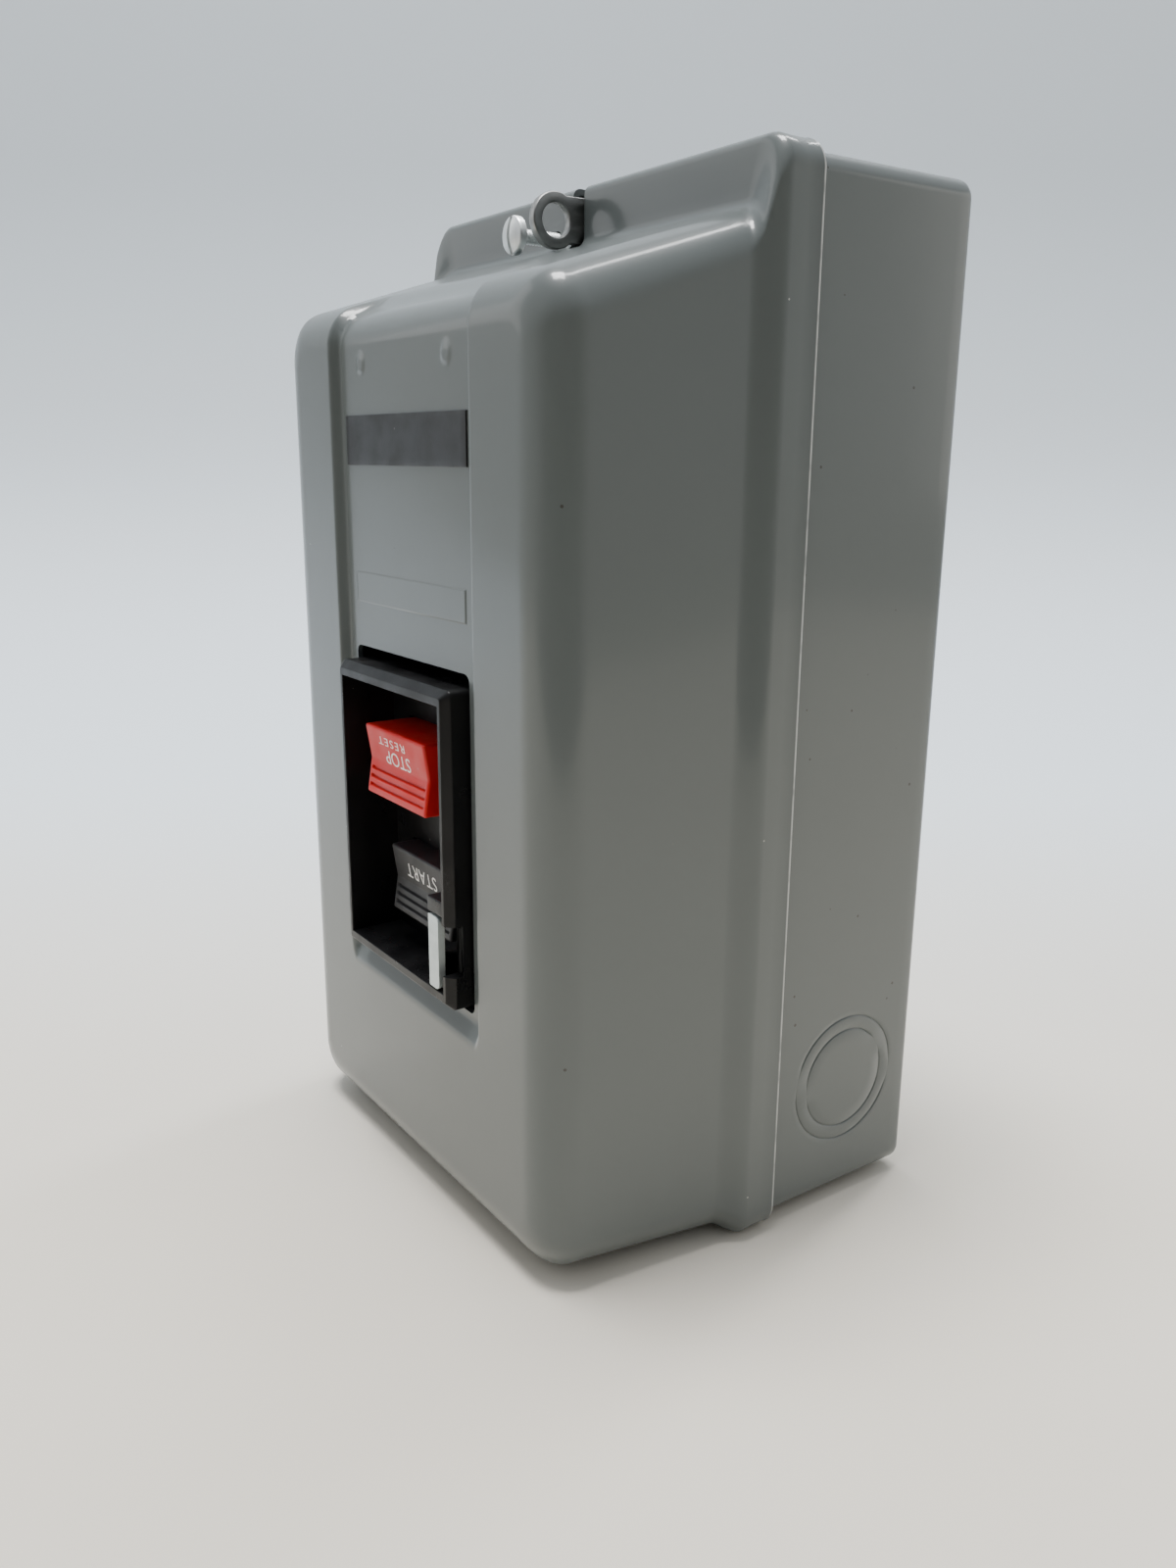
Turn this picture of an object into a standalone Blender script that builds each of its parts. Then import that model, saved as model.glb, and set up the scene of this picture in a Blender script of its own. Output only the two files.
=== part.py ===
"""Motor starter in a sheet-steel enclosure: box, drawn cover, push buttons, contacts, magnet and overload relay.

Frame: the origin is the centre of the back face. +X is the right side, -Y the front, and +Z the end that stands
up here, which is the lower end when the starter hangs on a wall. All sizes are in metres.
"""

import math

import bmesh
import bpy

# Box
BOX_WIDTH = 0.1184
BOX_HEIGHT = 0.2074
BOX_DEPTH = 0.0475
BOX_WALL = 0.0015
BOX_BEND = 0.004
KNOCKOUT_OUTER = 0.0282
KNOCKOUT_INNER = 0.0222
KNOCKOUT_GROOVE = 0.0006
KNOCKOUT_GROOVE_DEPTH = 0.0005
KNOCKOUT_FROM_BACK = 0.0205
KNOCKOUT_FROM_END = 0.0269
TOP_KNOCKOUT_X = -0.032
KEYHOLE_HEAD = 0.009
KEYHOLE_NECK = 0.005
KEYHOLE_NECK_ROUND = 0.00245
KEYHOLE_RISE = 0.0065
KEYHOLE_FROM_END = 0.0105
FIXING_HOLE = 0.006
FIXING_HOLE_FROM_SIDE = 0.0132
FIXING_HOLE_FROM_END = 0.0065

# Cover
COVER_WALL = 0.0012
COVER_DEPTH = 0.0936
SKIRT_GAP = 0.0005
SKIRT_LAP = 0.0063
SKIRT_ROUND = 0.0018
LEDGE_OVER_RIM = 0.0028
LEDGE_FILLET = 0.0017
LEDGE_FILLET_SIDE = 0.0004
LEDGE_FILLET_FOOT = 0.0001
NOSE_SIDE_INSET = 0.0024
NOSE_FOOT_INSET = 0.0020
NOSE_TOP_INSET = 0.0118
NOSE_SIDE_DRAFT = 0.0036
NOSE_FOOT_DRAFT = 0.0005
NOSE_TOP_DRAFT = 0.0103
NOSE_ROUND = 0.009
NOSE_CORNER = 0.009
CHANNEL_DEPTH = 0.002
CHANNEL_FLOOR_HALF = 0.027
CHANNEL_SLOPE = 1.5
CHANNEL_END_GAP = 0.0055
CHANNEL_FLARE = 0.006
CHANNEL_FLARE_FROM_END = 0.0337
CUTOUT_SIDE_GAP = 0.0006
CUTOUT_TOP_GAP = 0.0028
CUTOUT_FOOT_GAP = 0.0015
NAMEPLATE_WIDTH = 0.0508
NAMEPLATE_HEIGHT = 0.0099
NAMEPLATE_THICK = 0.0005
NAMEPLATE_FROM_END = 0.0485

# Hasp eye and captive cover screw
EYE_THICK = 0.002
EYE_OUTER = 0.0108
EYE_HOLE = 0.0066
EYE_REACH = 0.0061
EYE_ROOT_DROP = 0.0041
EYE_WEB_RISE = 0.0048
EYE_FROM_END = 0.0054
EYE_SLOT_CLEARANCE = 0.001
BRACKET_WALL = 0.0016
BRACKET_LEFT = -0.016
BRACKET_RIGHT = 0.012
BRACKET_HIGH = 0.0157
BRACKET_RUN = 0.014
BRACKET_BEHIND_RIM = 0.0015
SCREW_X = -0.0080
SCREW_FROM_END = 0.0076
SCREW_SHANK = 0.003
SCREW_HEAD = 0.0076
SCREW_HEAD_HIGH = 0.0024
SCREW_STANDS_OUT = 0.0097
SCREW_LENGTH = 0.0164
SCREW_SLOT = 0.001
SCREW_SWING_CLEARANCE = 0.0008
RETAINER_OUTER = 0.0065
RETAINER_THICK = 0.0008

# Bezel, buttons and lock slide
BEZEL_HALF = 0.024
BEZEL_ABOVE = 0.03375
BEZEL_BELOW = 0.03145
BEZEL_FRONT = 0.097
BEZEL_BACK = 0.062
BEZEL_BEVEL = 0.0015
BEZEL_CORNER = 0.0012
BEZEL_SIDE_WALL = 0.0026
BEZEL_END_WALL = 0.0032
BEZEL_FLANGE = 0.002
BEZEL_FLANGE_LIP = 0.0022
POCKET_FLOOR = 0.085
POCKET_FLOOR_THICK = 0.002
BUTTON_WIDTH = 0.0264
BUTTON_HEIGHT = 0.015
BUTTON_LENGTH = 0.0219
BUTTON_VALLEY = 0.0012
BUTTON_TRAVEL = 0.0052
BUTTON_PITCH = 0.0277
BUTTON_GROOVES = 3
BUTTON_GROOVE = 0.0009
BUTTON_GROOVE_DEPTH = 0.0006
BUTTON_GROOVE_PITCH = 0.0018
STOP_FRONT = 0.0959
STEM_WIDTH = 0.008
STEM_TIP = 0.004
SLIDE_X = 0.015
SLIDE_WALL = 0.0015
SLIDE_TAB = 0.0048
SLIDE_HIGH = 0.0155
SLIDE_BELOW_START = 0.0063
SLIDE_LENGTH = 0.027
SLIDE_BEND = 0.001
SLIDE_HOLE = 0.0065
SLIDE_HOLE_FROM_FRONT = 0.0055
SLIDE_HOLE_RISE = 0.0014
LOCK_BOSS_HIGH = 0.0032
LOCK_BOSS_BACK = 0.0002
NOTCH_ABOVE_HOLE = 0.0053
NOTCH_BELOW_HOLE = 0.0054
NOTCH_DEPTH = 0.0033

# Rocker that links the two buttons
ROCKER_PIVOT = 0.055
ROCKER_HALF_LENGTH = 0.017
ROCKER_THICK = 0.005
ROCKER_WIDTH = 0.016
ROCKER_ROUND = 0.002
PIN_DIAMETER = 0.004
HOUSING_HALF = 0.025
HOUSING_OVER_BEZEL = 0.0014
HOUSING_WALL = 0.0025

# Where the mechanism stands in the box: its foot takes this share of the free length
FOOT_SHARE = 0.664
BUTTONS_OVER_FOOT = 0.0598

# Contact block
PLATE_THICK = 0.0016
PLATE_PAST_STACK = 0.002
BLOCK_HALF = 0.039
BLOCK_HEIGHT = 0.092
BLOCK_FLOOR = 0.0083
BLOCK_BARRIER_HIGH = 0.022
BARRIER_WALL = 0.0025
POLES = 3
POLE_PITCH = 0.0254
ARC_COVER_THICK = 0.0027
STRIP_WIDTH = 0.011
STRIP_THICK = 0.002
STRIP_FROM_END = 0.002
TIP_LONG = 0.004
TIP_HIGH = 0.001
BRIDGE_LENGTH = 0.0388
BRIDGE_WIDTH = 0.009
BRIDGE_THICK = 0.0018
SPRING_WIRE = 0.0007
CONTACT_SPRING_OUTER = 0.0062
CONTACT_SPRING_TURNS = 2.5
CONTACT_SPRING_HIGH = 0.0042
RETURN_SPRING_OUTER = 0.007
RETURN_SPRING_TURNS = 4.5
CROSSBAR_THICK = 0.006
CROSSBAR_HIGH = 0.009
CROSSBAR_STEM_WIDTH = 0.009
STEM_SHOULDER = 0.0031
WINDOW_CLEARANCE = 0.0015
TERMINAL_SCREW_HEAD = 0.008
TERMINAL_SCREW_HEAD_HIGH = 0.003
TERMINAL_SCREW_SHANK = 0.004
TERMINAL_SCREW_LENGTH = 0.0066
TERMINAL_FROM_END = 0.008

# Magnet
MAGNET_OVER_BLOCK = 0.0235
CORE_HEIGHT = 0.034
CORE_STACK = 0.018
CORE_YOKE = 0.0055
CORE_LEG = 0.0092
CORE_OUTER_LEG = 0.0055
CORE_CENTRE_LEG = 0.011
BOBBIN_WALL = 0.001
BOBBIN_FLANGE = 0.001
BOBBIN_LENGTH = 0.008
BOBBIN_WIDTH = 0.032
COIL_INSET = 0.0005
COIL_CORNER = 0.002
ARMATURE_THICK = 0.005
ARM_WIDTH = 0.010
ARM_UPPER = 0.0037
ARM_STEP_CLEARANCE = 0.0011
MAGNET_BRACKET_PLATE = 0.0021
MAGNET_BRACKET_RISE = 0.0029
MAGNET_BRACKET_HALF = 0.021
MAGNET_BRACKET_LEG = 0.003

# Overload relay
RELAY_OVER_BLOCK = 0.045
RELAY_HEIGHT = 0.040
RELAY_HIGH = 0.0343
HEATER_BAY_WIDTH = 0.016
HEATER_BAY_DEPTH = 0.018
HEATER_BAY_RISE = 0.010
HEATER_BAY_HEIGHT = 0.026
HEATER_PLATE = 0.002
HEATER_WIDTH = 0.012
HEATER_POT = 0.009
HEATER_POT_HIGH = 0.009
LINK_WIDTH = 0.008
LINK_THICK = 0.0018
TRIP_BAR_HIGH = 0.004
TRIP_BAR_THICK = 0.0027
TRIP_BAR_HALF = 0.032
TRIP_BAR_RISE = 0.004
TRIP_TRAVEL = 0.003

# Plate and earth screws
PLATE_SCREW_INSET = 0.004
PLATE_SCREW_GAP = 0.00325
PLATE_SCREW_RISE = 0.026
PLATE_SCREW_DROP = 0.025
PLATE_SCREW_HEAD = 0.0075
PLATE_SCREW_HEAD_HIGH = 0.0025
PLATE_SCREW_SHANK = 0.004
GROUND_SCREW_RISE = 0.008

# Screw heads, as shares of each head's height and width
HEAD_RIM = 0.6
HEAD_DOME = 0.9
HEAD_DOME_WIDTH = 0.86
HEAD_CROWN_WIDTH = 0.55
HEAD_SLOT_FLOOR = 0.5

# Fits
SEAT_GAP = 0.0003
SLIDE_GAP = 0.0004
ROUND_STEPS = 4
CIRCLE = 32
SMALL_CIRCLE = 20
SPRING_STEPS = 10
SHARP_ANGLE = 35

# Sizes that follow from those above
HALF_WIDTH = BOX_WIDTH / 2
HALF_HEIGHT = BOX_HEIGHT / 2
SKIRT_OUT = SKIRT_GAP + COVER_WALL
SKIRT_REAR = BOX_DEPTH - SKIRT_LAP
LEDGE_DEPTH = BOX_DEPTH + LEDGE_OVER_RIM
STACK_HEIGHT = BLOCK_HEIGHT + RELAY_OVER_BLOCK + RELAY_HEIGHT
BLOCK_FOOT = BOX_WALL - HALF_HEIGHT + FOOT_SHARE * (BOX_HEIGHT - 2 * BOX_WALL - STACK_HEIGHT)
BLOCK_TOP = BLOCK_FOOT + BLOCK_HEIGHT
BUTTON_MIDDLE_Z = BLOCK_FOOT + BUTTONS_OVER_FOOT
BEZEL_TOP = BUTTON_MIDDLE_Z + BEZEL_ABOVE
BEZEL_FOOT = BUTTON_MIDDLE_Z - BEZEL_BELOW
CUTOUT_HALF = BEZEL_HALF + CUTOUT_SIDE_GAP
CUTOUT_TOP = BEZEL_TOP + CUTOUT_TOP_GAP
CUTOUT_FOOT = BEZEL_FOOT - CUTOUT_FOOT_GAP
CHANNEL_END = CUTOUT_FOOT - CHANNEL_END_GAP
CHANNEL_FLARE_AT = HALF_HEIGHT - CHANNEL_FLARE_FROM_END
NAMEPLATE_Z = HALF_HEIGHT - NAMEPLATE_FROM_END
EYE_Z = HALF_HEIGHT - EYE_FROM_END
BRACKET_FOOT = HALF_HEIGHT - BRACKET_HIGH
SCREW_Z = HALF_HEIGHT - SCREW_FROM_END
FIXING_HOLE_X = HALF_WIDTH - FIXING_HOLE_FROM_SIDE
PLATE_SCREW_X = BLOCK_HALF + PLATE_SCREW_HEAD / 2 + PLATE_SCREW_GAP
PLATE_HALF = PLATE_SCREW_X + PLATE_SCREW_INSET
PLATE_FOOT = BLOCK_FOOT - PLATE_PAST_STACK
PLATE_TOP = BLOCK_FOOT + STACK_HEIGHT + PLATE_PAST_STACK
PLATE_SCREW_LOW = PLATE_FOOT + PLATE_SCREW_RISE
PLATE_SCREW_HIGH = PLATE_TOP - PLATE_SCREW_DROP
GROUND_SCREW_Z = PLATE_FOOT + GROUND_SCREW_RISE
MAGNET_Z = BLOCK_TOP + MAGNET_OVER_BLOCK
RELAY_FOOT = BLOCK_TOP + RELAY_OVER_BLOCK
RELAY_TOP = RELAY_FOOT + RELAY_HEIGHT
HEATER_BAY_FOOT = RELAY_FOOT + HEATER_BAY_RISE
HEATER_BAY_TOP = HEATER_BAY_FOOT + HEATER_BAY_HEIGHT
TRIP_BAR_Z = RELAY_FOOT + TRIP_BAR_RISE
CHANNEL_FLOOR = COVER_DEPTH - CHANNEL_DEPTH
STOP_Z = BUTTON_MIDDLE_Z + BUTTON_PITCH / 2
START_Z = BUTTON_MIDDLE_Z - BUTTON_PITCH / 2
SLIDE_Z = START_Z - SLIDE_BELOW_START
SLIDE_HOLE_Z = SLIDE_Z + SLIDE_HOLE_RISE
NOTCH_TOP = SLIDE_HOLE_Z + NOTCH_ABOVE_HOLE
NOTCH_FOOT = SLIDE_HOLE_Z - NOTCH_BELOW_HOLE
START_FRONT = STOP_FRONT - BUTTON_TRAVEL
PLATE_BACK = BOX_WALL + SEAT_GAP
PLATE_FRONT = PLATE_BACK + PLATE_THICK
BASE_BACK = PLATE_FRONT + SEAT_GAP
BASE_FLOOR = BASE_BACK + BLOCK_FLOOR
BARRIER_FRONT = BASE_FLOOR + BLOCK_BARRIER_HIGH
ARC_BACK = BARRIER_FRONT + SEAT_GAP
ARC_FRONT = ARC_BACK + ARC_COVER_THICK
HOUSING_BACK = ARC_FRONT + SEAT_GAP
HOUSING_FRONT = BEZEL_BACK - SEAT_GAP
STRIP_BACK = BASE_FLOOR + SEAT_GAP
STRIP_FRONT = STRIP_BACK + STRIP_THICK
TIP_FRONT = STRIP_FRONT + TIP_HIGH
BRIDGE_BACK = TIP_FRONT + SEAT_GAP
BRIDGE_FRONT = BRIDGE_BACK + BRIDGE_THICK
CROSSBAR_BACK = BRIDGE_FRONT + 2 * SEAT_GAP + CONTACT_SPRING_HIGH
CROSSBAR_FRONT = CROSSBAR_BACK + CROSSBAR_THICK
ROCKER_TILT = math.atan2(BUTTON_TRAVEL / 2, BUTTON_PITCH / 2)
ARM_END = BUTTON_PITCH / 2 + STEM_TIP / 2
STOP_STEM_END = ROCKER_PIVOT + SEAT_GAP + (
    ROCKER_THICK / 2 + ARM_END * math.sin(ROCKER_TILT)) / math.cos(ROCKER_TILT)
START_STEM_END = STOP_STEM_END - BUTTON_TRAVEL
CROSSBAR_TIP = ROCKER_PIVOT - SEAT_GAP - (
    ROCKER_THICK / 2 + ARM_END * math.sin(ROCKER_TILT)) / math.cos(ROCKER_TILT)
MAGNET_BRACKET_BACK = BASE_BACK + MAGNET_BRACKET_RISE
MAGNET_BRACKET_FRONT = MAGNET_BRACKET_BACK + MAGNET_BRACKET_PLATE
CORE_BACK = MAGNET_BRACKET_FRONT + SEAT_GAP
CORE_FRONT = CORE_BACK + CORE_YOKE + CORE_LEG
ARMATURE_BACK = CORE_FRONT + SEAT_GAP
ARMATURE_FRONT = ARMATURE_BACK + ARMATURE_THICK
RELAY_FRONT = BASE_BACK + RELAY_HIGH
BAY_FLOOR = RELAY_FRONT - HEATER_BAY_DEPTH
BRACKET_FRONT = BOX_DEPTH - BRACKET_BEHIND_RIM
LEDGE_INSIDE = LEDGE_DEPTH - COVER_WALL


def clear_scene():
    for old in list(bpy.data.objects):
        bpy.data.objects.remove(old, do_unlink=True)


def make_material(name, colour, roughness, metallic):
    material = bpy.data.materials.new(name)
    material.use_nodes = True
    shader = material.node_tree.nodes["Principled BSDF"]
    shader.inputs["Base Color"].default_value = (*colour, 1.0)
    shader.inputs["Roughness"].default_value = roughness
    shader.inputs["Metallic"].default_value = metallic
    return material


def add_object(name, mesh_points, faces, material, origin=(0, 0, 0)):
    """A closed mesh object with its faces turned outwards and its origin at the given point."""
    mesh = bpy.data.meshes.new(name)
    shift = [tuple(p[i] - origin[i] for i in range(3)) for p in mesh_points]
    mesh.from_pydata(shift, [], faces)
    shape = bmesh.new()
    shape.from_mesh(mesh)
    bmesh.ops.recalc_face_normals(shape, faces=shape.faces)
    shape.to_mesh(mesh)
    shape.free()
    mesh.shade_smooth()
    mesh.set_sharp_from_angle(angle=math.radians(SHARP_ANGLE))
    thing = bpy.data.objects.new(name, mesh)
    thing.location = origin
    bpy.context.scene.collection.objects.link(thing)
    if material:
        mesh.materials.append(material)
    return thing


def loft(name, rings, material, origin=(0, 0, 0)):
    """A solid through closed rings of equal point counts, capped at both ends."""
    count = len(rings[0])
    points = [p for ring in rings for p in ring]
    faces = [list(range(count)), [(len(rings) - 1) * count + i for i in range(count)]]
    for r in range(len(rings) - 1):
        for i in range(count):
            j = (i + 1) % count
            faces.append([r * count + i, r * count + j, (r + 1) * count + j, (r + 1) * count + i])
    return add_object(name, points, faces, material, origin)


def place(axis, a, b, along):
    """Puts an outline point (a, b) at a distance along an axis. Depths count from the back towards the front."""
    if axis == "X":
        return (along, -a, b)
    if axis == "Y":
        return (a, -along, b)
    return (a, -b, along)


def prism(name, outline, axis, start, end, material, origin=(0, 0, 0)):
    rings = [[place(axis, a, b, along) for a, b in outline] for along in (start, end)]
    return loft(name, rings, material, origin)


def rectangle(a0, a1, b0, b1):
    return [(a0, b0), (a1, b0), (a1, b1), (a0, b1)]


def rounded(a0, a1, b0, b1, radius, steps=ROUND_STEPS):
    """A rectangle with round corners, each of the same number of steps."""
    corners = [(a1 - radius, b0 + radius, -90), (a1 - radius, b1 - radius, 0),
               (a0 + radius, b1 - radius, 90), (a0 + radius, b0 + radius, 180)]
    points = []
    for ca, cb, first in corners:
        for k in range(steps + 1):
            turn = math.radians(first + 90 * k / steps)
            points.append((ca + radius * math.cos(turn), cb + radius * math.sin(turn)))
    return points


def circle(a, b, diameter, count=CIRCLE):
    turns = [2 * math.pi * k / count for k in range(count)]
    return [(a + diameter / 2 * math.cos(t), b + diameter / 2 * math.sin(t)) for t in turns]


def box(name, x0, x1, back, front, z0, z1, material, origin=(0, 0, 0)):
    return prism(name, rectangle(x0, x1, z0, z1), "Y", back, front, material, origin)


def boolean(thing, other, operation):
    other.hide_render = True
    other.display_type = "WIRE"
    modifier = thing.modifiers.new(other.name, "BOOLEAN")
    modifier.operation = operation
    modifier.object = other
    return thing


def cut(thing, other):
    return boolean(thing, other, "DIFFERENCE")


def weld(thing, other):
    return boolean(thing, other, "UNION")


def cut_round(thing, name, x, z, diameter, back, front, count=SMALL_CIRCLE):
    return cut(thing, prism(name, circle(x, z, diameter, count), "Y", back, front, None))


def helix(name, x, z, outer, wire, turns, back, front, material):
    """A coil spring about a line along Y, one tube from end to end. Prints its least gap between turns."""
    radius = outer / 2 - wire / 2
    count = int(turns * SPRING_STEPS) + 1
    rise = front - back - wire
    curve = bpy.data.curves.new(name, "CURVE")
    curve.dimensions = "3D"
    curve.bevel_depth = wire / 2
    curve.bevel_resolution = 1
    curve.use_fill_caps = True
    spline = curve.splines.new("POLY")
    spline.points.add(count - 1)
    for k, point in enumerate(spline.points):
        turn = 2 * math.pi * turns * k / (count - 1)
        depth = back + wire / 2 + rise * k / (count - 1)
        point.co = (x + radius * math.cos(turn), -depth, z + radius * math.sin(turn), 1.0)
    thing = bpy.data.objects.new(name, curve)
    bpy.context.scene.collection.objects.link(thing)
    curve.materials.append(material)
    print(f"{name}: least gap between turns {1000 * (rise / turns - wire):.2f} mm")
    return thing


def slotted_screw(name, x, z, seat, head, head_high, shank, length, slot, material, turned=False):
    """A screw along Y: a domed slotted head in front of its seat and a plain shank behind it."""
    steps = [(seat - length, shank), (seat, shank), (seat, head), (seat + HEAD_RIM * head_high, head),
             (seat + HEAD_DOME * head_high, HEAD_DOME_WIDTH * head), (seat + head_high, HEAD_CROWN_WIDTH * head)]
    rings = [[place("Y", a, b, depth) for a, b in circle(x, z, wide, SMALL_CIRCLE)] for depth, wide in steps]
    screw = loft(name, rings, material, (x, -seat, z))
    across = (slot / 2, head)
    half_x, half_z = across if turned else (across[1], across[0])
    groove = box(name + "_slot", x - half_x, x + half_x, seat + HEAD_SLOT_FLOOR * head_high, seat + 2 * head_high,
                 z - half_z, z + half_z, None)
    return cut(screw, groove)


def build_box(steel):
    outer = rounded(-HALF_WIDTH, HALF_WIDTH, -HALF_HEIGHT, HALF_HEIGHT, BOX_BEND)
    shell = prism("back_box", outer, "Y", 0, BOX_DEPTH, steel)
    wide, high = HALF_WIDTH - BOX_WALL, HALF_HEIGHT - BOX_WALL
    inner = rounded(-wide, wide, -high, high, BOX_BEND - BOX_WALL)
    cut(shell, prism("box_inside", inner, "Y", BOX_WALL, 2 * BOX_DEPTH, None))
    side_z = -HALF_HEIGHT + KNOCKOUT_FROM_END
    spots = [("X", KNOCKOUT_FROM_BACK, side_z, HALF_WIDTH), ("X", KNOCKOUT_FROM_BACK, side_z, -HALF_WIDTH),
             ("Z", 0.0, KNOCKOUT_FROM_BACK, -HALF_HEIGHT),
             ("Z", TOP_KNOCKOUT_X, KNOCKOUT_FROM_BACK, HALF_HEIGHT)]
    for number, (axis, a, b, face) in enumerate(spots):
        for size in (KNOCKOUT_OUTER, KNOCKOUT_INNER):
            cut(shell, ring_cutter(f"knockout_{number}_{size:.4f}", axis, a, b, face, size))
    key_z = -HALF_HEIGHT + KEYHOLE_FROM_END
    through = (-BOX_WALL, 2 * BOX_WALL)
    cut_round(shell, "keyhole_head", 0, key_z, KEYHOLE_HEAD, *through)
    neck = rounded(-KEYHOLE_NECK / 2, KEYHOLE_NECK / 2, key_z - KEYHOLE_RISE, key_z, KEYHOLE_NECK_ROUND)
    cut(shell, prism("keyhole_neck", neck, "Y", *through, None))
    for side in (-1, 1):
        cut_round(shell, f"fixing_hole_{side}", side * FIXING_HOLE_X, HALF_HEIGHT - FIXING_HOLE_FROM_END,
                  FIXING_HOLE, *through)
    for x, z in plate_screw_spots():
        cut_round(shell, f"tapped_{x:.3f}_{z:.3f}", x, z, PLATE_SCREW_SHANK + 2 * SEAT_GAP, *through)
    return shell


def ring_cutter(name, axis, a, b, face, size):
    """A square-section ring that scores a knockout's outline into one face of the box."""
    sign = math.copysign(1, face)
    levels = (face - sign * KNOCKOUT_GROOVE_DEPTH, face + sign * KNOCKOUT_GROOVE_DEPTH)
    rings = []
    for level, wide in ((levels[0], 1), (levels[0], -1), (levels[1], -1), (levels[1], 1)):
        outline = circle(a, b, size + wide * KNOCKOUT_GROOVE)
        rings.append([place(axis, p, q, level) for p, q in outline])
    count = CIRCLE
    points = [p for ring in rings for p in ring]
    faces = []
    for r in range(4):
        s = (r + 1) % 4
        for i in range(count):
            j = (i + 1) % count
            faces.append([r * count + i, r * count + j, s * count + j, s * count + i])
    return add_object(name, points, faces, None)


def nose_rings(wall):
    """Rings of the cover's skin from the skirt's rear edge to the front, a sheet thickness further in."""
    half = HALF_WIDTH + SKIRT_OUT - wall
    end = HALF_HEIGHT + SKIRT_OUT - wall
    corner = BOX_BEND + SKIRT_OUT - wall
    rings = []

    def ring(depth, side, foot, top, radius):
        outline = rounded(-half + side, half - side, -end + foot, end - top, radius)
        rings.append([place("Y", a, b, depth) for a, b in outline])

    ring(SKIRT_REAR - (COVER_WALL if wall else 0), 0, 0, 0, corner)
    ledge = LEDGE_DEPTH - wall
    for k in range(ROUND_STEPS):
        turn = math.pi / 2 * k / (ROUND_STEPS - 1)
        inset = SKIRT_ROUND * (1 - math.cos(turn))
        ring(ledge - SKIRT_ROUND * (1 - math.sin(turn)), inset, inset, inset, corner - inset / 2)
    base = (NOSE_SIDE_INSET, NOSE_FOOT_INSET, NOSE_TOP_INSET)
    ring(ledge, base[0] - LEDGE_FILLET_SIDE, base[1] - LEDGE_FILLET_FOOT, base[2] - LEDGE_FILLET, NOSE_CORNER)
    ring(ledge + LEDGE_FILLET, *base, NOSE_CORNER)
    front = COVER_DEPTH - wall
    shoulder = front - NOSE_ROUND
    draft = (NOSE_SIDE_DRAFT, NOSE_FOOT_DRAFT, NOSE_TOP_DRAFT)
    high = [base[i] + draft[i] for i in range(3)]
    for k in range(ROUND_STEPS + 1):
        turn = math.pi / 2 * k / ROUND_STEPS
        inset = NOSE_ROUND * (1 - math.cos(turn))
        depth = shoulder + NOSE_ROUND * math.sin(turn)
        ring(depth, *(h + inset for h in high), max(NOSE_CORNER - inset / 2, COVER_WALL))
    return rings


def channel_cutter(name, wall):
    """The recess down the middle of the cover's front, with sloping sides that flare out at the top end."""
    extra = wall * (math.hypot(1, CHANNEL_SLOPE) - CHANNEL_SLOPE)
    floor = CHANNEL_FLOOR - wall
    top = HALF_HEIGHT + SKIRT_OUT
    rings = []
    for rise in (0, CHANNEL_DEPTH + COVER_WALL):
        half = CHANNEL_FLOOR_HALF + extra + CHANNEL_SLOPE * rise
        foot = CHANNEL_END - extra - CHANNEL_SLOPE * rise
        right = [(half, foot)]
        for k in range(ROUND_STEPS + 1):
            turn = math.pi / 2 * k / ROUND_STEPS
            right.append((half + CHANNEL_FLARE * (1 - math.cos(turn)),
                          CHANNEL_FLARE_AT + CHANNEL_FLARE * math.sin(turn)))
        right.append((half + CHANNEL_FLARE, top))
        left = [(-a, b) for a, b in reversed(right)]
        rings.append([place("Y", a, b, floor + rise) for a, b in right + left])
    return loft(name, rings, None)


def build_cover(paint, label, zinc, hinge):
    cover = loft("cover", nose_rings(0), paint, hinge)
    cut(cover, channel_cutter("channel_outside", 0))
    inside = loft("cover_inside", nose_rings(COVER_WALL), None)
    cut(inside, channel_cutter("channel_inside", COVER_WALL))
    cut(cover, inside)
    cut(cover, box("cutout", -CUTOUT_HALF, CUTOUT_HALF, LEDGE_DEPTH + NOSE_ROUND, 2 * COVER_DEPTH,
                   CUTOUT_FOOT, CUTOUT_TOP, None))
    slot_half = EYE_THICK / 2 + EYE_SLOT_CLEARANCE
    slot_foot = EYE_Z - EYE_ROOT_DROP - EYE_SLOT_CLEARANCE
    cut(cover, box("eye_slot", -slot_half, slot_half, SKIRT_REAR + COVER_WALL, LEDGE_DEPTH + LEDGE_FILLET,
                   slot_foot, 2 * HALF_HEIGHT, None))
    cut_round(cover, "screw_hole", SCREW_X, SCREW_Z, SCREW_SHANK + 2 * SEAT_GAP, SKIRT_REAR,
              LEDGE_DEPTH + LEDGE_FILLET)
    plate_back = CHANNEL_FLOOR + SEAT_GAP
    box("nameplate", -NAMEPLATE_WIDTH / 2, NAMEPLATE_WIDTH / 2, plate_back, plate_back + NAMEPLATE_THICK,
        NAMEPLATE_Z - NAMEPLATE_HEIGHT / 2, NAMEPLATE_Z + NAMEPLATE_HEIGHT / 2, label, hinge)
    front = LEDGE_INSIDE - SEAT_GAP
    washer = prism("screw_retainer", circle(SCREW_X, SCREW_Z, RETAINER_OUTER, SMALL_CIRCLE), "Y",
                   front - RETAINER_THICK, front, zinc, hinge)
    cut_round(washer, "retainer_bore", SCREW_X, SCREW_Z, SCREW_SHANK + 2 * SEAT_GAP, 0, COVER_DEPTH)


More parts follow.
